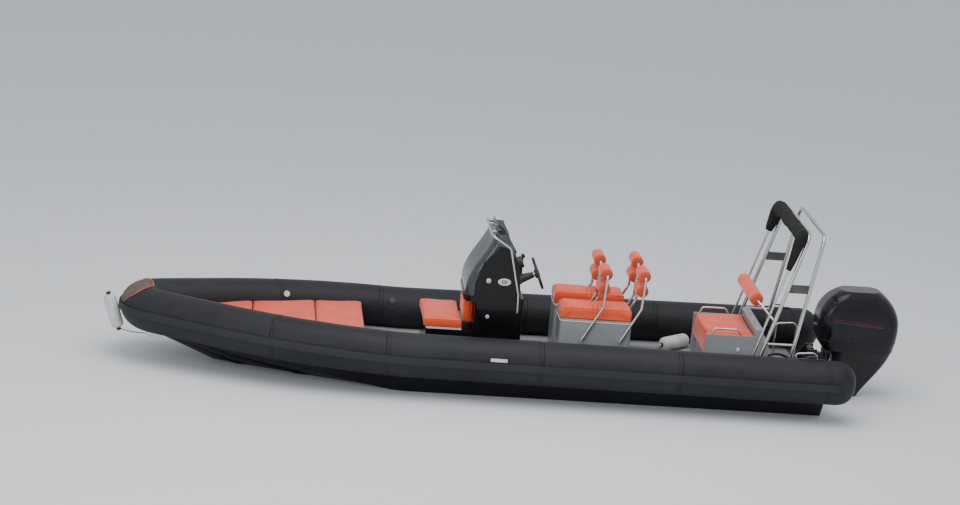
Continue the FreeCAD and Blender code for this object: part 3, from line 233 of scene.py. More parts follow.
# %% A finish with weathering and grain
def finish(name, fresh, worn, rough, weather, texture="grain", scale=400.0, bump=0.1, depth=0.0004,
           **sockets):
    """A Principled material: two colours and two roughnesses by the weathering, and a texture as bump."""
    material = bpy.data.materials.new(name)
    material.use_nodes = True
    tree = material.node_tree
    shader = tree.nodes["Principled BSDF"]
    where, mask, colour, roughness, surface, relief = add_nodes(
        tree, "TexCoord", "Group", "Mix", "MapRange", "Group", "Bump")
    mask.node_tree = GROUPS["weathering"]
    mask.inputs["Scale"].default_value = weather
    colour.data_type = "RGBA"
    colour.inputs["A"].default_value = (*fresh, 1.0)
    colour.inputs["B"].default_value = (*worn, 1.0)
    roughness.inputs["To Min"].default_value, roughness.inputs["To Max"].default_value = rough
    surface.node_tree = GROUPS[texture]
    surface.inputs["Scale"].default_value = scale
    relief.inputs["Strength"].default_value = bump
    relief.inputs["Distance"].default_value = depth
    link = tree.links.new
    link(where.outputs["Object"], mask.inputs["Vector"])
    link(where.outputs["Object"], surface.inputs["Vector"])
    link(mask.outputs["Mask"], colour.inputs["Factor"])
    link(mask.outputs["Mask"], roughness.inputs["Value"])
    link(colour.outputs["Result"], shader.inputs["Base Color"])
    link(roughness.outputs["Result"], shader.inputs["Roughness"])
    link(surface.outputs["Height"], relief.inputs["Height"])
    link(relief.outputs["Normal"], shader.inputs["Normal"])
    for socket, value in sockets.items():
        shader.inputs[socket.replace("_", " ").title().replace("Ior", "IOR")].default_value = value
    return material


# %% [markdown]
# ## Finishes
# The colours were judged on the photograph: matt black-grey coated fabric on the tubes, gloss
# black on the hull and console, pale grey pods and bench, orange vinyl, and polished stainless steel.

CLOTH = dict(texture="weave", scale=260.0, bump=0.25, depth=0.0006)
GLOSS = dict(bump=0.02, specular_ior_level=0.25)
PAINT = dict(bump=0.03, coat_weight=0.2, coat_roughness=0.1)
LOOKS = dict(
    tube_fabric=((0.012, 0.013, 0.016), (0.024, 0.025, 0.029), (0.46, 0.62), 1.6,
        dict(CLOTH, specular_ior_level=0.25)),
    strake_rubber=((0.011, 0.012, 0.014), (0.022, 0.023, 0.026), (0.5, 0.72), 2.5,
        dict(scale=300.0, bump=0.2, depth=0.0005, specular_ior_level=0.4)),
    patch_fabric=((0.060, 0.046, 0.040), (0.15, 0.085, 0.065), (0.55, 0.75), 8.0, CLOTH),
    pad_rubber=((0.66, 0.66, 0.64), (0.5, 0.5, 0.48), (0.45, 0.6), 20.0, {}),
    valve_plastic=((0.62, 0.62, 0.60), (0.45, 0.45, 0.43), (0.4, 0.6), 20.0, {}),
    black_plastic=((0.009, 0.009, 0.010), (0.020, 0.020, 0.022), (0.35, 0.55), 12.0, dict(scale=700.0)),
    hull_gelcoat=((0.004, 0.004, 0.005), (0.008, 0.008, 0.010), (0.14, 0.28), 2.0,
        dict(GLOSS, coat_weight=0.1, coat_roughness=0.06)),
    deck_gelcoat=((0.35, 0.36, 0.37), (0.27, 0.28, 0.29), (0.5, 0.7), 3.0,
        dict(scale=160.0, bump=0.4, depth=0.0008)),
    console_gelcoat=((0.004, 0.004, 0.005), (0.009, 0.009, 0.011), (0.14, 0.28), 4.0,
        dict(GLOSS, specular_ior_level=0.22, coat_weight=0.1, coat_roughness=0.06)),
    pod_gelcoat=((0.32, 0.335, 0.345), (0.26, 0.275, 0.285), (0.25, 0.4), 3.0, PAINT),
    orange_vinyl=((0.92, 0.095, 0.022), (0.84, 0.075, 0.018), (0.38, 0.54), 6.0,
        dict(scale=550.0, bump=0.25, sheen_weight=0.35, sheen_roughness=0.3)),
    smoked_acrylic=((0.055, 0.06, 0.065), (0.08, 0.085, 0.09), (0.05, 0.10), 5.0,
        dict(bump=0.01, alpha=0.66)),
    stainless=((0.62, 0.62, 0.61), (0.52, 0.52, 0.51), (0.16, 0.3), 9.0, dict(bump=0.02, metallic=1.0)),
    step_plastic=((0.05, 0.05, 0.052), (0.09, 0.09, 0.092), (0.6, 0.8), 14.0, dict(scale=260.0, bump=0.4)),
    black_canvas=((0.005, 0.005, 0.006), (0.013, 0.013, 0.015), (0.75, 0.9), 5.0,
        dict(CLOTH, scale=420.0, bump=0.4, specular_ior_level=0.3)),
    white_vinyl=((0.72, 0.72, 0.68), (0.52, 0.52, 0.47), (0.35, 0.55), 9.0, dict(scale=500.0, bump=0.15)),
    black_rope=((0.02, 0.02, 0.022), (0.05, 0.05, 0.052), (0.7, 0.85), 20.0,
        dict(CLOTH, scale=500.0, bump=0.5, depth=0.001)),
    engine_metal=((0.012, 0.012, 0.014), (0.024, 0.024, 0.027), (0.28, 0.45), 8.0,
        dict(scale=600.0, bump=0.08, specular_ior_level=0.3)),
    engine_paint=((0.005, 0.005, 0.007), (0.010, 0.010, 0.013), (0.14, 0.26), 4.0,
        dict(GLOSS, coat_weight=0.15, coat_roughness=0.05)),
    propeller_metal=((0.55, 0.56, 0.57), (0.38, 0.39, 0.4), (0.2, 0.4), 12.0,
        dict(bump=0.05, metallic=1.0)),
    engine_block=((0.10, 0.10, 0.11), (0.16, 0.16, 0.17), (0.45, 0.6), 12.0, dict(metallic=0.6)),
    lid_gelcoat=((0.68, 0.68, 0.66), (0.55, 0.55, 0.53), (0.25, 0.4), 6.0, PAINT),
    seam_tape=((0.010, 0.011, 0.013), (0.018, 0.019, 0.022), (0.46, 0.6), 6.0,
        dict(CLOTH, scale=300.0, bump=0.15, depth=0.0005, specular_ior_level=0.25)),
    piping=((0.62, 0.10, 0.035), (0.45, 0.09, 0.04), (0.4, 0.55), 12.0, dict(scale=500.0)),
    vinyl_piping=((0.72, 0.10, 0.03), (0.60, 0.085, 0.028), (0.38, 0.5), 10.0, dict(scale=500.0)),
    # A darker copy of the orange vinyl for the rolls' end panels: its darkness is painted shade of their
    # upright faces.
    vinyl_end_painted_shade=((0.60, 0.075, 0.022), (0.50, 0.065, 0.02), (0.45, 0.6), 10.0, dict(scale=500.0, bump=0.25)),
    webbing=((0.012, 0.012, 0.014), (0.03, 0.03, 0.033), (0.6, 0.75), 20.0,
        dict(CLOTH, scale=900.0, bump=0.5, depth=0.0005)),
    non_slip=((0.22, 0.23, 0.24), (0.16, 0.17, 0.18), (0.7, 0.85), 6.0,
        dict(scale=220.0, bump=0.9, depth=0.0012)),
    dial_glass=((0.004, 0.004, 0.005), (0.007, 0.007, 0.009), (0.05, 0.12), 20.0,
        dict(bump=0.01, coat_weight=0.6, coat_roughness=0.02)),
    cowl_red=((0.14, 0.008, 0.008), (0.08, 0.007, 0.007), (0.25, 0.4), 12.0, GLOSS),
    cowl_grey=((0.10, 0.105, 0.11), (0.06, 0.065, 0.07), (0.25, 0.4), 12.0, GLOSS),
)
FINISHES = {name: finish(name, *look[:4], **look[4]) for name, look in LOOKS.items()}
for row in frame["record"]["subparts"]:
    for slot in nodes[row["node"]].material_slots:
        slot.material = FINISHES[row["material_slot"]]
fender_line.data.materials.append(FINISHES["black_rope"])
for hose in hoses:
    hose.data.materials.append(FINISHES["black_plastic"])
print("finishes:", len(FINISHES))

# %% [markdown]
# ## Shared shape helpers
# New pieces are made as meshes in place. Those on a curved surface, such as the tapes on the tubes, are
# cut out of that surface itself, so they lie on it wherever it runs.

# %% Pieces, beads and simple forms
def dress(piece, slot, body="boat"):
    """Give a piece its finish and the body that it rides on."""
    piece.data.materials.clear()
    piece.data.materials.append(FINISHES[slot])
    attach(piece, body)
    return piece


def add_object(name, data, slot, body="boat"):
    """Make a piece of a mesh or a curve."""
    return dress(placed(name, data), slot, body)


def mesh_of(shape, name):
    """The mesh of a bmesh, which is freed."""
    mesh = bpy.data.meshes.new(name)
    shape.to_mesh(mesh)
    shape.free()
    return mesh


def add_piece(name, shape, slot, body="boat", sharp=40.0):
    """Make a piece of a bmesh."""
    bmesh.ops.remove_doubles(shape, verts=shape.verts, dist=0.00002)
    bmesh.ops.recalc_face_normals(shape, faces=shape.faces)
    mesh = mesh_of(shape, name)
    mesh.shade_smooth()
    mesh.set_sharp_from_angle(angle=math.radians(sharp))
    return add_object(name, mesh, slot, body)


def bead(name, points, diameter, slot, body="boat"):
    """A thin round bead or trim that follows a closed loop of points."""
    line, spline = curve(name, points, "POLY", diameter / 2, 2)
    spline.use_cyclic_u = True
    spline.use_smooth = True
    return add_object(name, line, slot, body)


def spun(shape, profile, start, axis, steps=32):
    """Turn a profile of (along, radius) round an axis from a start point."""
    start, axis = Vector(start), Vector(axis).normalized()
    across = axis.orthogonal().normalized()
    points = [shape.verts.new(start + axis * along + across * radius) for along, radius in profile]
    edges = [shape.edges.new(pair) for pair in zip(points, points[1:])]
    bmesh.ops.spin(shape, geom=points + edges, cent=start, axis=axis, angle=math.tau, steps=steps,
                   use_merge=True)


def edges_of(verts):
    """The edges that meet some points, each once and in a steady order."""
    return list(dict.fromkeys(edge for vert in verts for edge in vert.link_edges))


def rounded(shape, edges, radius, segments):
    """Round some edges, and give the new points back."""
    return bmesh.ops.bevel(shape, geom=edges, offset=radius, offset_type="OFFSET", segments=segments,
                           profile=0.5, affect="EDGES", material=-1)["verts"]


def block(shape, low, high, turn=None):
    """A sharp box between two corners, turned about its middle."""
    low, high = Vector(low), Vector(high)
    place = Matrix.Translation((low + high) / 2) @ (turn or Matrix()) @ Matrix.Diagonal((*(high - low), 1.0))
    return bmesh.ops.create_cube(shape, size=1.0, matrix=place)["verts"]


def boxed(shape, low, high, radius, segments=3, turn=None):
    """A box with all its edges rounded."""
    rounded(shape, edges_of(block(shape, low, high, turn)), radius, segments)


# %% Cutting pieces out of a surface
def welded(node):
    """A bmesh of a solid whose loose triangles are joined."""
    shape = bmesh.new()
    shape.from_mesh(nodes[node].data)
    bmesh.ops.remove_doubles(shape, verts=shape.verts, dist=0.00005)
    return shape


def whole_mesh(node):
    """The same as a mesh."""
    return mesh_of(welded(node), f"{node}_whole")


def section_loops(mesh, point, normal):
    """The closed loops in which a plane cuts a mesh, as lists of points."""
    shape = bmesh.new()
    shape.from_mesh(mesh)
    cut = bmesh.ops.bisect_plane(shape, geom=[*shape.verts, *shape.edges, *shape.faces], plane_co=point,
                                 plane_no=normal, dist=0.00001)
    left = {item: True for item in cut["geom_cut"] if isinstance(item, bmesh.types.BMEdge)}
    loops = []
    while left:
        edge = next(iter(left))
        del left[edge]
        first, corner = edge.verts
        loop = [first, corner]
        while corner is not first:
            following = [other for other in corner.link_edges if other in left]
            if not following:
                break
            del left[following[0]]
            corner = following[0].other_vert(corner)
            loop.append(corner)
        loops.append([vert.co.copy() for vert in loop[:-1]])
    shape.free()
    loops.sort(key=lambda loop: sum(loop, Vector())[:])
    return loops


def band(name, mesh, point, normal, width, lift, thickness, slot, keep=None, body="boat"):
    """A strip of a piece's surface between two parallel planes, lifted off it, with a thickness."""
    shape = bmesh.new()
    shape.from_mesh(mesh)
    normal = Vector(normal).normalized()
    for side in (1, -1):
        bmesh.ops.bisect_plane(shape, geom=[*shape.verts, *shape.edges, *shape.faces],
                               plane_co=Vector(point) + normal * side * width / 2,
                               plane_no=normal * side, clear_outer=True, dist=0.00001)
    if keep is not None:
        outside = [face for face in shape.faces if not keep(face.calc_center_median())]
        bmesh.ops.delete(shape, geom=outside, context="FACES")
    shape.normal_update()
    for vert in shape.verts:
        vert.co += vert.normal * lift
    strip = mesh_of(shape, name)
    strip.shade_smooth()
    piece = add_object(name, strip, slot, body)
    wall = piece.modifiers.new("wall", "SOLIDIFY")
    wall.thickness = thickness
    wall.offset = 1.0
    return piece


# %% Even meshes
def settled(piece):
    """A piece as its modifiers make it."""
    return piece.evaluated_get(bpy.context.evaluated_depsgraph_get())


def bake(piece):
    """Write what the modifiers make into the mesh, and drop them."""
    mesh = bpy.data.meshes.new_from_object(settled(piece))
    piece.modifiers.clear()
    piece.data = mesh


def even_mesh(piece, voxel, rounds, drawn_in=0.0):
    """Remesh a piece evenly, smooth it and draw it in."""
    remesh = piece.modifiers.new("even", "REMESH")
    remesh.mode = "VOXEL"
    remesh.voxel_size = voxel
    bake(piece)
    shape = bmesh.new()
    shape.from_mesh(piece.data)
    for _ in range(rounds):
        bmesh.ops.smooth_vert(shape, verts=shape.verts, factor=0.5, use_axis_x=True, use_axis_y=True,
                              use_axis_z=True)
    shape.normal_update()
    for vert in shape.verts:
        vert.co -= vert.normal * drawn_in
    shape.to_mesh(piece.data)
    shape.free()


# %% [markdown]
# ## Tubes
# A real tube is a row of coated-fabric panels, glued edge over edge and blown hard. The solid gives its
# run and girth. An even mesh is made of it, and every seam is drawn in a little and covered by a tape, so
# the long dark sides don't look like pipe.

# %% Tube skin
SKIN_VOXEL = 0.022
skin = placed("tube_skin", nodes["buoyancy_tube"].data.copy())
even_mesh(skin, SKIN_VOXEL, 6)
skin.data.shade_smooth()
dress(skin, "tube_fabric")
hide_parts("buoyancy_tube")
print("tube skin faces:", len(skin.data.polygons))

# %% Seams and tapes on the tubes
SEAM_PULL, SEAM_REACH = 0.0025, 0.09
TAPE_WIDTH, TAPE_LIFT, TAPE_THICKNESS = 0.050, 0.0003, 0.0012
CROSS_SEAMS = (-2.35, -1.15, 0.42, 1.85, 3.38)
BOW_BEND, BOW_SLANT = -1.5, 0.32        # ahead of the bend, the tubes close in and the tapes follow
for vert in skin.data.vertices:
    nearest = min(abs(vert.co.x - seam) for seam in CROSS_SEAMS)
    if nearest < SEAM_REACH:
        vert.co -= vert.normal * SEAM_PULL * (1 - nearest / SEAM_REACH) ** 2
for number, x in enumerate(CROSS_SEAMS):
    for side, name in ((-1, "port"), (1, "starboard")):
        slant = side * BOW_SLANT if x < BOW_BEND else 0.0
        band(f"tube_tape_{number}_{name}", skin.data, (x, side, 0), (1, slant, 0), TAPE_WIDTH, TAPE_LIFT,
             TAPE_THICKNESS, "seam_tape", keep=lambda co, side=side: co.y * side > 0.2)
print("tapes:", 2 * len(CROSS_SEAMS))

# %% [markdown]
# ### Bow patch
# A large oval patch of worn cloth covers the nose of the tubes. It is a thin sheet of its own, with the
# solid's mesh, and a bright piping is sewn round its edge.

# %% Bow patch and its piping
shape = welded("bow_patch")
shape.normal_update()
patch_mesh = bpy.data.meshes.new("nose_patch")
shape.to_mesh(patch_mesh)
SHARP = 0.8                             # radians between faces, from which an edge is a rim
rim_points = {}
for edge in shape.edges:
    if len(edge.link_faces) == 2 and edge.calc_face_angle() > SHARP:
        for vert in edge.verts:
            rim_points.setdefault(vert, []).append(edge.other_vert(vert))
loops = []
while rim_points:
    loop, here = [], next(iter(rim_points))
    while here in rim_points:
        loop.append(here.co.copy())
        ahead = [other for other in rim_points.pop(here) if other in rim_points]
        if not ahead:
            break
        here = ahead[0]
    loops.append(loop)
shape.free()
outer = max((loop for loop in loops if len(loop) > 12), key=lambda loop: max(point.z for point in loop))
patch = add_object("nose_patch", patch_mesh, "patch_fabric")
patch_mesh.shade_smooth()
patch_mesh.set_sharp_from_angle(angle=SHARP)
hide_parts("bow_patch")
bead("nose_patch_piping", outer, 0.012, "piping")
print("patch rim points:", len(outer))

# %% [markdown]
# ## Upholstery
# Every seat is foam in orange vinyl. Each pad starts as the solid's own mesh, remeshed evenly and drawn in
# a little. Cloth with air pressure then crowns it, no point further than a cap, and a pad that rests on
# something never sinks below the foot of its solid. Piping and sewn channels come after, because the remesh
# would close them.

# %% The cushion recipe
PRESSURE = 4.0
CLOTH_FRAMES = 20


def swell(piece, voxel, drawn_in, cap, floor=None):
    """Remesh a piece, draw it in, blow it up as cloth and smooth it."""
    even_mesh(piece, voxel, 2, drawn_in)
    start = [vert.co.copy() for vert in piece.data.vertices]
    cloth = piece.modifiers.new("cloth", "CLOTH")
    cloth.settings.use_pressure = True
    cloth.settings.uniform_pressure_force = PRESSURE
    cloth.settings.effector_weights.gravity = 0.0
    for number in range(1, CLOTH_FRAMES + 1):
        scene.frame_set(number)
    ends = [vert.co.copy() for vert in settled(piece).data.vertices]
    piece.modifiers.clear()
    scene.frame_set(1)
    for vert, old, new in zip(piece.data.vertices, start, ends):
        step = new - old
        if step.length > cap:
            step = step * (cap / step.length)
        vert.co = old + step
        if floor is not None:
            vert.co.z = max(vert.co.z, floor)
    finer = piece.modifiers.new("finer", "SUBSURF")
    finer.levels = finer.render_levels = 1
    bake(piece)
    piece.data.shade_smooth()


def fit(mesh, low, high, axes, spare):
    """Stretch a mesh along some axes until it fills a box but for a little spare room."""
    for axis in axes:
        least = min(vert.co[axis] for vert in mesh.vertices)
        most = max(vert.co[axis] for vert in mesh.vertices)
        room = high[axis] - low[axis] - 2 * spare
        for vert in mesh.vertices:
            vert.co[axis] = low[axis] + spare + (vert.co[axis] - least) / (most - least) * room


def padding(node, name, voxel, drawn_in, cap, rests=False, axes=(0, 1)):
    """A swollen pad in the space of one solid, which it replaces, and that solid's box."""
    low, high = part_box(node)
    piece = placed(name, nodes[node].data.copy())
    swell(piece, voxel, drawn_in, cap, low[2] if rests else None)
    fit(piece.data, low, high, axes, 0.001)
    dress(piece, "orange_vinyl")
    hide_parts(node)
    return piece, low, high


def pinch(mesh, x, width, depth, above):
    """A sewn channel across a pad: points near x and over a height are drawn in."""
    for vert in mesh.vertices:
        distance = abs(vert.co.x - x)
        if distance < width and vert.co.z > above:
            vert.co -= vert.normal * depth * (1 - distance / width) ** 1.5


def welt(name, piece, point, normal=(0, 0, 1), diameter=0.008):
    """A sewn bead where a plane cuts a pad. Cuts of a few points are left out."""
    for number, loop in enumerate(section_loops(piece.data, point, normal)):
        if len(loop) >= 20:
            bead(f"{name}_{number}", loop[::2], diameter, "vinyl_piping")


# %% Bow cushions
for node in ("bow_cushion_aft", "bow_cushion_middle", "bow_cushion_forward"):
    pad, low, high = padding(node, node.replace("cushion", "pad"), 0.016, 0.008, 0.014, rests=True)
    welt(f"{node}_welt", pad, (0, 0, high[2] - 0.020))
    welt(f"{node}_low_welt", pad, (0, 0, low[2] + 0.016))
    print(node, "faces:", len(pad.data.polygons))

# %% Console seat and its back
pad, low, high = padding("console_seat_cushion", "console_seat_pad", 0.012, 0.010, 0.015, rests=True)
welt("console_seat_welt", pad, (0, 0, high[2] - 0.018))
welt("console_seat_low_welt", pad, (0, 0, low[2] + 0.014))
pad, low, high = padding("console_backrest", "console_back_pad", 0.009, 0.009, 0.012, axes=(1, 2))
welt("console_back_welt", pad, (low[0] + 0.018, 0, 0), (1, 0, 0))
print("console pads done")

# %% Saddles
for side in ("port", "starboard"):
    pad, low, high = padding(f"saddle_{side}", f"saddle_pad_{side}", 0.011, 0.011, 0.018, rests=True)
    for share in (0.47, 0.53):
        pinch(pad.data, low[0] + (high[0] - low[0]) * share, 0.014, 0.008, low[2] + 0.05)
    welt(f"saddle_welt_{side}", pad, (0, 0, high[2] - 0.028))
    welt(f"saddle_low_welt_{side}", pad, (0, 0, low[2] + 0.012))
print("saddles done")

# %% Stern cushion
pad, low, high = padding("stern_cushion", "stern_pad", 0.014, 0.009, 0.015)
welt("stern_pad_welt", pad, (0, 0, high[2] - 0.018))
print("stern pad faces:", len(pad.data.polygons))

# %% [markdown]
# ### Rollers and bolster
# The backrests are foam rolls in vinyl. One roll is spun from a profile, swollen as cloth, and copied to
# each place that the solids give, with a piped seam and, at each end, a panel in a darker copy of the vinyl,
# which is painted shade.

# %% One roll
def shoulder(steps):
    """A quarter round from a flat end to a side, as shares of its radius from both."""
    angles = [math.pi / 2 * step / steps for step in range(steps + 1)]
    return [(1 - math.cos(angle), 1 - math.sin(angle)) for angle in angles]


def roll_shape(half, radius, edge):
    """A closed roll along Y round the origin, with rounded ends."""
    profile = [(-half, 0.0)]
    profile += [(-half + edge * ahead, radius - edge * under) for ahead, under in shoulder(6)]
    profile += [(-along, width) for along, width in reversed(profile)]
    shape = bmesh.new()
    spun(shape, profile, (0, 0, 0), (0, 1, 0), 40)
    bmesh.ops.remove_doubles(shape, verts=shape.verts, dist=0.0001)
    bmesh.ops.recalc_face_normals(shape, faces=shape.faces)
    return shape


def corners_of(points):
    """The lowest and highest corner round some points."""
    return tuple(Vector([pick(point[axis] for point in points) for axis in range(3)]) for pick in (min, max))


def islands(node):
    """The boxes of the separate solids in one node, as (low, high) corners."""
    shape = welded(node)
    left = set(shape.verts)
    found = []
    while left:
        group, front = [], [left.pop()]
        while front:
            vert = front.pop()
            group.append(vert.co.copy())
            for edge in vert.link_edges:
                other = edge.other_vert(vert)
                if other in left:
                    left.remove(other)
                    front.append(other)
        found.append(corners_of(group))
    shape.free()
    return sorted(found, key=lambda pair: pair[0][:])


def set_rolls(name, node, edge, voxel):
    """Swell one roll and put a copy, with piping and end panels, at each solid of a node."""
    boxes = islands(node)
    low, high = boxes[0]
    half, radius = (high.y - low.y) / 2, (high.z - low.z) / 2
    first = placed(name, mesh_of(roll_shape(half, radius, edge), name))
    swell(first, voxel, 0.006, 0.010)
    mesh = first.data
    bpy.data.objects.remove(first)
    for number, (low, high) in enumerate(boxes):
        place = (low + high) / 2
        roll = mesh.copy()
        roll.transform(Matrix.Translation(place))
        piece = add_object(f"{name}_{number}", roll, "orange_vinyl")
        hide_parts(node)
        for side in (-1, 1):
            seam = place + Vector((0, side * (half - edge * 0.45), 0))
            welt(f"{name}_{number}_welt_{side + 1}", piece, seam, (0, 1, 0), 0.006)
            shape = bmesh.new()
            cap = radius - edge - 0.004
            spun(shape, [(0, cap), (0.0035, cap - 0.003), (0.005, cap * 0.6), (0.0045, 0.0)],
                 place + Vector((0, side * (half - 0.001), 0)), (0, side, 0))
            # Each end panel takes the darker copy of the vinyl, painted shade on the upright end.
            add_piece(f"{name}_{number}_end_{side + 1}", shape, "vinyl_end_painted_shade")
    print(name, "copies:", len(boxes), "faces each:", len(mesh.polygons))


# %% Backrest rollers
for side in ("port", "starboard"):
    set_rolls(f"roller_{side}", f"backrest_rollers_{side}", 0.020, 0.010)

# %% Stern bolster
set_rolls("bolster_roll", "stern_bolster", 0.024, 0.012)

# %% [markdown]
# ## Fenders
# Fenders are blown vinyl: a smooth body with a stiff neck at each end. A spun profile gives that shape
# directly. The one at the bow hangs on the strake, and the other lies on the deck.

# %% Fenders
NECK = 0.035                            # length of a fender's neck
NECK_RADIUS = 0.024


def fender(name, node, along, length, diameter):
    """A fender of one spun profile, with rounded shoulders and two necks, in the middle of its solid."""
    low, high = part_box(node)
    middle = (Vector(low) + Vector(high)) / 2
    half, radius = length / 2, diameter / 2
    profile = [(-half - NECK, 0.0), (-half - NECK, 0.013), (-half - NECK + 0.006, 0.020),
               (-half - 0.006, 0.0215)]
    round_part = diameter * 0.32
    profile += [(-half + round_part * ahead, max(NECK_RADIUS, radius - round_part * under))
                for ahead, under in shoulder(8)]
    mirrored = [(-place, width) for place, width in reversed(profile)]
    for step in range(1, 6):
        share = step / 6
        bulge = 0.0015 * math.sin(math.pi * share)
        profile.append((-half + round_part + (length - 2 * round_part) * share, radius + bulge))
    shape = bmesh.new()
    spun(shape, profile + mirrored, middle, along, 48)
    body = add_piece(name, shape, "white_vinyl", sharp=60.0)
    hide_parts(node)
    axis = Vector(along).normalized()
    for side in (-1, 1):
        shape = bmesh.new()
        spun(shape, [(0, 0.0225), (0.002, 0.0245), (NECK - 0.012, 0.0245), (NECK - 0.004, 0.021),
                     (NECK - 0.002, 0.0)], middle + axis * side * half, axis * side)
        add_piece(f"{name}_neck_{side + 1}", shape, "black_plastic")


LEAN, TURN = math.radians(18.5), math.radians(42.0)
fender("fender_bow", "bow_fender", (-math.sin(LEAN), 0, math.cos(LEAN)), 0.368, 0.130)
fender("fender_deck", "deck_fender", (math.cos(TURN), math.sin(TURN), 0), 0.400, 0.150)
print("fenders done")

# %% [markdown]
# ## Canopy cover
# The folded canopy is laced into a long sleeve of black canvas over its bow. It is made as one sheet: a
# ring of edges is carried along the sleeve's line, and at each place its width, sag and folds are set, so
# the cloth is full over the top and drawn in at its straps and its two open ends.

# %% The sleeve's line
SLEEVE = [(2.9705, 0.7247, 1.588), (3.012, 0.7200, 1.720), (3.050, 0.712, 1.850), (3.058, 0.640, 1.866),
          (3.060, 0.50, 1.862), (3.060, 0.25, 1.860), (3.060, 0.0, 1.859), (3.060, -0.25, 1.860),
          (3.060, -0.50, 1.862), (3.058, -0.640, 1.866), (3.050, -0.712, 1.850), (3.005, -0.7215, 1.700),
          (2.970, -0.7255, 1.590), (2.9428, -0.7277, 1.498)]
guide = lay_cord("sleeve_guide", SLEEVE, 0.01)
guide.data.bevel_depth = 0.0
guide.data.resolution_u = 10
traced = bpy.data.meshes.new_from_object(settled(guide))
route = [vert.co.copy() for vert in traced.vertices]
bpy.data.objects.remove(guide)
print("sleeve stations:", len(route))

# %% Sleeve
STRAPS = (0.16, 0.36, 0.52, 0.655, 0.80)      # shares of its length


def sleeve_width(share):
    """The sleeve's radius at a share of its length, which starts at the starboard end."""
    full = 0.070 - 0.030 * max(0.0, 1 - share / 0.10) - 0.044 * max(0.0, 1 - (1 - share) / 0.20)
    for strap in STRAPS:
        full *= 1 - 0.13 * math.exp(-((share - strap) / 0.011) ** 2)
    ends = min(share, 1 - share)
    return full * (1 - 0.10 * math.exp(-(ends / 0.012) ** 2))


lengths = [0.0]
for before, after in zip(route, route[1:]):
    lengths.append(lengths[-1] + (after - before).length)
shape = bmesh.new()
ring = None
side_way = Vector((1, 0, 0))
for number, point in enumerate(route):
    share = lengths[number] / lengths[-1]
    ahead = (route[min(number + 1, len(route) - 1)] - route[max(number - 1, 0)]).normalized()
    side_way = (side_way - ahead * side_way.dot(ahead)).normalized()
    up_way = ahead.cross(side_way)
    if ring is None:
        ring = bmesh.ops.create_circle(shape, segments=56, radius=1.0)["verts"]
    else:
        order = {vert: position for position, vert in enumerate(ring)}
        edges = [edge for edge in edges_of(ring) if edge.verts[0] in order and edge.verts[1] in order]
        made = bmesh.ops.extrude_edge_only(shape, edges=edges)["geom"]
        new = [item for item in made if isinstance(item, bmesh.types.BMVert)]
        ring = sorted(new, key=lambda vert: next(order[edge.other_vert(vert)] for edge in vert.link_edges
                                                 if edge.other_vert(vert) in order))
    width = sleeve_width(share)
    for position, vert in enumerate(ring):
        angle = math.tau * position / len(ring)
        where = Vector((math.cos(angle) * 1.7, math.sin(angle) * 1.7, lengths[number] * 7.0))
        fold = noise.noise(where) * 0.007 + (0.5 - abs(noise.noise(where * 2.3))) * 0.005
        ridge = math.sin(angle * 3 + lengths[number] * 9.0) * 0.0022
        loose = width + fold + ridge
        offset = (side_way * math.cos(angle) + up_way * math.sin(angle)) * loose
        vert.co = point + offset
        vert.co.z -= 0.006 * max(0.0, -offset.z / width)
bmesh.ops.recalc_face_normals(shape, faces=shape.faces)
sheet_area = sum(face.calc_area() for face in shape.faces)
sleeve_mesh = mesh_of(shape, "canopy_sleeve")
sleeve_mesh.shade_smooth()
sleeve = add_object("canopy_sleeve", sleeve_mesh, "black_canvas")
finer = sleeve.modifiers.new("finer", "SUBSURF")
finer.levels = finer.render_levels = 1
cloth_wall = sleeve.modifiers.new("wall", "SOLIDIFY")
cloth_wall.thickness = 0.0015
cloth_wall.offset = -1.0
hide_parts("canopy_cover")
print("sleeve length:", round(lengths[-1], 3), "area:", round(sheet_area, 3))

# %% Straps round the sleeve
for number, strap in enumerate(STRAPS):
    nearest = min(range(len(route)), key=lambda i: abs(lengths[i] / lengths[-1] - strap))
    ahead = (route[min(nearest + 1, len(route) - 1)] - route[nearest - 1]).normalized()
    band(f"sleeve_strap_{number}", sleeve_mesh, route[nearest], ahead, 0.026, 0.0008, 0.0022, "webbing",
         keep=lambda co, at=route[nearest]: (co - at).length < 0.13)
print("straps:", len(STRAPS))

# %% [markdown]
# ## Small fittings
# The solids carry the main forms. What follows is thin or small: trims, lids, plates, dials and screws.
# Each is a rounded box, a spun profile or a bead set on the solid that carries it.

# %% Plates and domes
def plate(shape, low, high, corner, edge=0.0015):
    """A flat plate with rounded corners in plan and a soft upper edge."""
    thin = min(range(3), key=lambda axis: high[axis] - low[axis])
    upright = [line for line in edges_of(block(shape, low, high))
               if abs((line.verts[0].co - line.verts[1].co).normalized()[thin]) > 0.9]
    faces = [face for vert in rounded(shape, upright, corner, 5) for face in vert.link_faces]
    rims = dict.fromkeys(line for face in faces for line in face.edges
                         if len(line.link_faces) == 2 and line.calc_face_angle(0) > 1.2)
    rounded(shape, list(rims), edge, 2)


def dome(shape, place, axis, radius, height):
    """A low screw head or rivet."""
    spun(shape, [(0, radius), (height * 0.5, radius * 0.9), (height, radius * 0.5), (height, 0.0)], place,
         axis, 12)


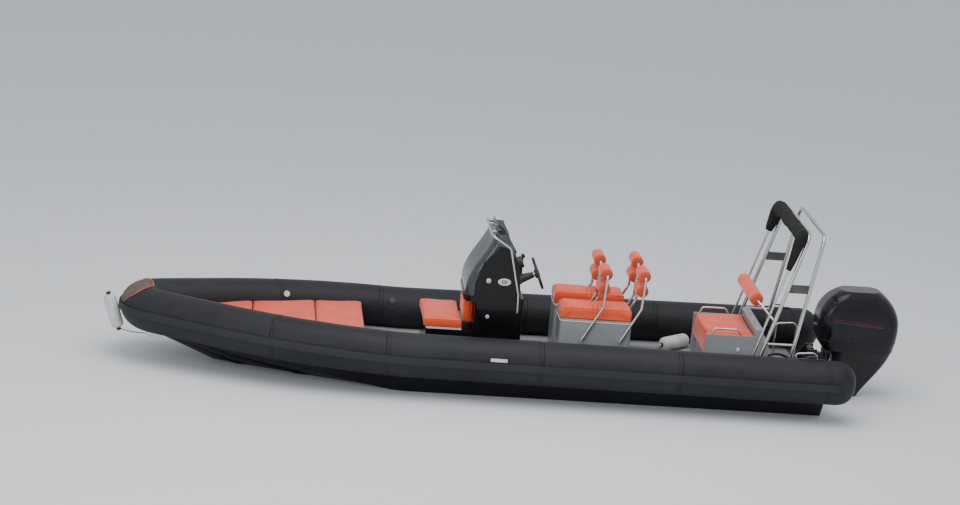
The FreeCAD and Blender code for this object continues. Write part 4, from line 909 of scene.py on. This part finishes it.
# %% Fittings on the console's port side
shape = bmesh.new()
spun(shape, [(0, 0.026), (0.006, 0.026), (0.009, 0.022), (0.009, 0.016), (0.016, 0.013), (0.018, 0.0)],
     (-0.117, -0.400, 1.115), (0, -1, 0))
spun(shape, [(0, 0.021), (0.005, 0.021), (0.007, 0.017), (0.006, 0.011), (0.009, 0.009), (0.010, 0.0)],
     (-0.103, -0.400, 0.732), (0, -1, 0))
add_piece("console_lights", shape, "valve_plastic")
shape = bmesh.new()
spun(shape, [(0, 0.040), (0.004, 0.040), (0.007, 0.036), (0.007, 0.026), (0.0045, 0.023), (0.0045, 0.0)],
     (0, 0, 0), (0, -1, 0), 48)
oval = Matrix.Translation((0.048, -0.400, 1.110)) @ Matrix.Diagonal((1.7, 1.0, 0.95, 1.0))
bmesh.ops.transform(shape, matrix=oval, verts=shape.verts)
add_piece("console_vent", shape, "lid_gelcoat")
shape = bmesh.new()
for row in range(4):
    z = 1.110 + (row - 1.5) * 0.0105
    boxed(shape, (0.018, -0.4068, z - 0.0022), (0.078, -0.4040, z + 0.0022), 0.001, 2)
add_piece("console_vent_slots", shape, "black_plastic")
print("console side fittings done")

# %% Caps over the middle valves
# Only the forward valves are pale in the photograph, so the ones behind them get a dark cap. Each cap
# sits on the valve's outer face, whose plane and middle come from the solid.
CAP_PROFILE = ((-0.006, 0.0350), (0.001, 0.0350), (0.003, 0.0330), (0.003, 0.0200), (0.005, 0.0180),
               (0.006, 0.0))
shape = welded("inflation_valves")
caps = bmesh.new()
for side in (-1, 1):
    toward = Vector((0, -side, 0.62)).normalized()
    near = [face for face in shape.faces if face.calc_center_median().x > -1.5
            and face.calc_center_median().y * side > 0]
    top = max(near, key=lambda face: face.calc_center_median().dot(toward) + face.normal.dot(toward))
    rim = [vert.co for face in near for vert in face.verts
           if abs((vert.co - top.verts[0].co).dot(top.normal)) < 0.0003]
    low, high = corners_of(rim)
    spun(caps, CAP_PROFILE, (low + high) / 2, top.normal)
shape.free()
add_piece("valve_caps", caps, "black_plastic")
print("valve caps done")

# %% Screen trim and screws
SCREEN_FOOT = 0.9445
for number, loop in enumerate(section_loops(whole_mesh("windscreen"), (0, 0, SCREEN_FOOT), (0, 0, 1))):
    if len(loop) > 8:
        bead(f"screen_seal_{number}", loop, 0.0075, "black_plastic")
shape = bmesh.new()
for y in (-0.30, -0.18, -0.06, 0.06, 0.18, 0.30):
    dome(shape, (-0.3455, y, 0.972), (-1, 0, 0.1), 0.009, 0.004)
add_piece("screen_screws", shape, "stainless")
print("screen trim done")

# %% [markdown]
# ### Dash
# The photograph hides the dash behind the screen, but it shows from other sides. It gets what such a boat
# has: a chart screen, three dials with plain marks and a row of rocker switches.

# %% Dials, chart screen and switches
SLOPE = Vector((0.8505, 0.0, 0.526))            # square to the dash's upper part
DOWN_SLOPE = Vector((0.526, 0.0, -0.8505))
ACROSS = Vector((0, 1, 0))


def on_slope(y, down):
    """A point of the sloping upper part of the dash, down from its middle."""
    return Vector((0.137, y, 1.3855)) + DOWN_SLOPE * down


def slope_box(shape, y0, y1, up, down, low, high, radius):
    """A rounded box on the slope, between two heights over it."""
    turn = Matrix((DOWN_SLOPE, ACROSS, SLOPE)).transposed().to_4x4()
    middle = on_slope((y0 + y1) / 2, (down - up) / 2) + SLOPE * (low + high) / 2
    half = Vector((up + down, y1 - y0, high - low)) / 2
    boxed(shape, middle - half, middle + half, radius, turn=turn)


def mark(shape, middle, way, size):
    """A thin bar on a dial, along a way on the slope."""
    turn = Matrix((way, SLOPE.cross(way), SLOPE)).transposed().to_4x4()
    half = Vector(size) / 2
    block(shape, middle - half, middle + half, turn)


shape = bmesh.new()
slope_box(shape, 0.03, 0.31, 0.082, 0.082, -0.002, 0.022, 0.009)
add_piece("chart_case", shape, "black_plastic")
shape = bmesh.new()
slope_box(shape, 0.052, 0.288, 0.062, 0.062, 0.0205, 0.0232, 0.001)
add_piece("chart_glass", shape, "dial_glass")
rings, faces, marks = bmesh.new(), bmesh.new(), bmesh.new()
for y, down, size in ((-0.05, -0.035, 0.036), (-0.14, -0.035, 0.036), (-0.095, 0.048, 0.030)):
    middle = on_slope(y, down)
    spun(rings, [(-0.002, size * 1.16), (0.006, size * 1.16), (0.009, size * 1.06), (0.009, size),
                 (0.004, size * 0.97)], middle, SLOPE, 40)
    spun(faces, [(0.0045, size), (0.0045, 0.0)], middle, SLOPE)
    for step in range(9):
        angle = math.radians(-120 + 30 * step)
        spoke = ACROSS * math.sin(angle) - DOWN_SLOPE * math.cos(angle)
        mark(marks, middle + spoke * size * 0.80 + SLOPE * 0.0050, spoke, (size * 0.2, 0.0018, 0.0008))
    mark(marks, middle - DOWN_SLOPE * size * 0.28 + SLOPE * 0.006, DOWN_SLOPE, (size * 0.75, 0.0022, 0.001))
add_piece("dial_rims", rings, "stainless")
add_piece("dial_faces", faces, "dial_glass")
add_piece("dial_marks", marks, "lid_gelcoat")
print("dials done")

# %% Switches, wheel cap, shaft and boot
rockers, plates = bmesh.new(), bmesh.new()
boxed(plates, (0.211, 0.085, 1.075), (0.226, 0.305, 1.175), 0.004)
for number in range(6):
    y = 0.110 + 0.034 * number
    tip = Matrix.Rotation(math.radians(7 if number % 2 else -7), 4, "Y")
    boxed(rockers, (0.219, y - 0.012, 1.105), (0.231, y + 0.012, 1.148), 0.003, 2, turn=tip)
add_piece("switch_plate", plates, "step_plastic")
add_piece("rocker_switches", rockers, "black_plastic")
WHEEL_MIDDLE = Vector((0.395, -0.300, 1.203))
COLUMN_FOOT = (0.226, -0.300, 1.1347)   # where the column leaves the dash
RAKE = math.radians(22)                 # of the column, from level
cap = bmesh.new()
facing = Vector((math.cos(RAKE), 0, math.sin(RAKE)))
spun(cap, [(0, 0.036), (0.004, 0.036), (0.008, 0.030), (0.011, 0.016), (0.012, 0.0)],
     WHEEL_MIDDLE + facing * 0.012, facing)
add_piece("wheel_cap", cap, "stainless", "wheel")
collar = bmesh.new()
spun(collar, [(-0.050, 0.0), (-0.050, 0.021), (-0.048, 0.023), (-0.034, 0.023), (-0.030, 0.027),
              (-0.030, 0.0)], WHEEL_MIDDLE, facing)
add_piece("wheel_shaft", collar, "stainless", "wheel")
boot = bmesh.new()
spun(boot, [(-0.036, 0.0), (-0.036, 0.060), (-0.030, 0.062), (-0.024, 0.056), (-0.018, 0.058),
            (-0.011, 0.052), (-0.004, 0.054), (0.004, 0.050), (0.004, 0.0)], COLUMN_FOOT, facing)
add_piece("column_boot", boot, "step_plastic")
print("helm done")

# %% Door, hatches, latches and the bench's light
shape = bmesh.new()
plate(shape, (0.2605, -0.26, 0.34), (0.268, 0.26, 0.82), 0.05)
add_piece("console_door", shape, "console_gelcoat")
for side in (-1, 1):
    shape = bmesh.new()
    plate(shape, (1.3985, side * 0.32 - 0.13, 0.33), (1.4055, side * 0.32 + 0.13, 0.68), 0.035)
    add_piece(f"pod_hatch_{side + 1}", shape, "pod_gelcoat")
latches = bmesh.new()
spun(latches, [(0, 0.030), (0.004, 0.030), (0.007, 0.026), (0.007, 0.012), (0.014, 0.010), (0.014, 0.0)],
     (0.268, 0.20, 0.58), (1, 0, 0))
for side in (-1, 1):
    spun(latches, [(0, 0.024), (0.004, 0.024), (0.006, 0.020), (0.006, 0.010), (0.012, 0.008), (0.012, 0.0)],
         (1.4055, side * 0.32 + 0.09, 0.505), (1, 0, 0))
add_piece("hatch_latches", latches, "stainless")
shape = bmesh.new()
spun(shape, [(0, 0.023), (0.005, 0.023), (0.008, 0.019), (0.008, 0.013), (0.013, 0.010), (0.014, 0.0)],
     (2.551, -0.460, 0.546), (0, -1, 0))
add_piece("bench_light", shape, "lid_gelcoat")
print("hatches done")

# %% Pod trims
for side in ("port", "starboard"):
    whole = whole_mesh(f"pod_{side}")
    for name, height, width, slot in (("trim", 0.766, 0.010, "lid_gelcoat"),
                                      ("seal", 0.240, 0.012, "black_plastic")):
        for loop in section_loops(whole, (0, 0, height), (0, 0, 1)):
            if len(loop) > 8:
                bead(f"pod_{name}_{side}", loop, width, slot)
print("pod trims done")

# %% [markdown]
# ### Deck
# The sole is pale gelcoat with separate non-slip panels, a little darker and coarse underfoot.

# %% Non-slip panels
DECK = 0.232
PANELS = ((-1.30, -0.80, -0.62, 0.62), (-0.72, 0.24, 0.50, 0.72), (-0.72, 0.24, -0.72, -0.50),
          (0.36, 0.60, -0.62, 0.62), (0.68, 1.50, 0.565, 0.74), (0.68, 1.50, -0.74, -0.565),
          (0.68, 1.40, -0.085, 0.085), (1.56, 2.12, -0.66, 0.66), (2.28, 2.56, 0.52, 0.68),
          (2.28, 2.56, -0.68, -0.52))
shape = bmesh.new()
for x0, x1, y0, y1 in PANELS:
    plate(shape, (x0, y0, DECK - 0.0028), (x1, y1, DECK + 0.0005), 0.03, 0.0010)
add_piece("non_slip_panels", shape, "non_slip")
print("panels:", len(PANELS))

# %% Bolts on the arch's feet
FEET = ((2.632, 0.770), (2.990, 0.770), (2.632, -0.770), (2.990, -0.770))
BOLT_CIRCLE = 0.034
shape = bmesh.new()
for x, y in FEET:
    for quarter in range(4):
        angle = math.radians(45 + 90 * quarter)
        bolt = (x + BOLT_CIRCLE * math.cos(angle), y + BOLT_CIRCLE * math.sin(angle), DECK + 0.006)
        dome(shape, bolt, (0, 0, 1), 0.006, 0.004)
add_piece("arch_bolts", shape, "stainless")
print("bolts done")

# %% [markdown]
# ### Engine cowl
# The cowl is gloss black in two shells. A rubber seal runs in their joint, a dull red line and a grey one
# run along each side, and a latch sits at the back.

# %% Cowl trims
COWL_JOINT = 0.6425
STRIPE_FALL = 0.076                     # the lines fall this much for each metre aft
SHAFT_HEIGHT = -0.615
cowl_whole = whole_mesh("upper_cowl")
for number, loop in enumerate(section_loops(cowl_whole, (0, 0, COWL_JOINT), (0, 0, 1))):
    if len(loop) > 8 and max(point.x for point in loop) > 4.28:
        bead(f"cowl_seal_{number}", loop, 0.007, "black_plastic", "engine_steer")


def on_side(co):
    """True on the cowl's outer sides, between its front and back curves."""
    return 3.60 < co.x < 4.12 and abs(co.y) > 0.2


for name, height, width in (("red", 0.862, 0.013), ("grey", 0.840, 0.006)):
    band(f"cowl_line_{name}", cowl_whole, (3.78, 0, height), (STRIPE_FALL, 0, 1), width, 0.0004, 0.0006,
         f"cowl_{name}", keep=on_side, body="engine_steer")
shape = bmesh.new()
boxed(shape, (4.268, -0.032, 0.600), (4.300, 0.032, 0.668), 0.007)
add_piece("cowl_latch", shape, "black_plastic", "engine_steer")
shape = bmesh.new()
spun(shape, [(0, 0.0), (0, 0.024), (0.014, 0.024), (0.018, 0.030), (0.026, 0.030), (0.026, 0.0)],
     (3.936, 0, SHAFT_HEIGHT), (1, 0, 0))
spun(shape, [(0, 0.0), (0, 0.026), (0.008, 0.026), (0.010, 0.017), (0.026, 0.016), (0.028, 0.0)],
     (4.022, 0, SHAFT_HEIGHT), (1, 0, 0), 6)
add_piece("propeller_shaft", shape, "stainless", "propeller")
print("cowl and shaft done")

# %% [markdown]
# ## Floor and light
# The floor lies at the waterline. Light is soft and even, as under a bright overcast sky: a pale world
# gives most of it, and two large lamps give the tubes their lighter tops.

# %% Floor
shape = bmesh.new()
bmesh.ops.create_circle(shape, cap_ends=True, segments=96, radius=160.0)
floor = placed("floor", mesh_of(shape, "floor"))
floor_finish = bpy.data.materials.new("floor")
floor_finish.use_nodes = True
floor_shader = floor_finish.node_tree.nodes["Principled BSDF"]
floor_shader.inputs["Base Color"].default_value = (0.74, 0.77, 0.80, 1.0)
floor_shader.inputs["Roughness"].default_value = 0.9
floor.data.materials.append(floor_finish)
floor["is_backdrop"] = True

# %% Light
world = bpy.data.worlds.new("overcast")
world.use_nodes = True
sky = world.node_tree.nodes["Background"]
sky.inputs["Color"].default_value = (0.92, 0.96, 1.0, 1.0)
sky.inputs["Strength"].default_value = 0.75
scene.world = world


def lamp(name, place, aim, size, power):
    """A square area lamp that looks at a point."""
    data = bpy.data.lights.new(name, "AREA")
    data.size = size
    data.energy = power
    item = placed(name, data)
    item.location = place
    item.rotation_euler = (Vector(aim) - Vector(place)).to_track_quat("-Z", "Y").to_euler()


lamp("sky_above", (0.0, -3.0, 11.0), (0.0, 0.0, 0.5), 10.0, 900.0)
lamp("port_bow_side", (-7.0, -12.0, 6.0), (0.0, 0.0, 0.5), 7.0, 500.0)

# %% The final box
low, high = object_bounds()
print("final box:", [round(v, 3) for v in (*low, *high)])
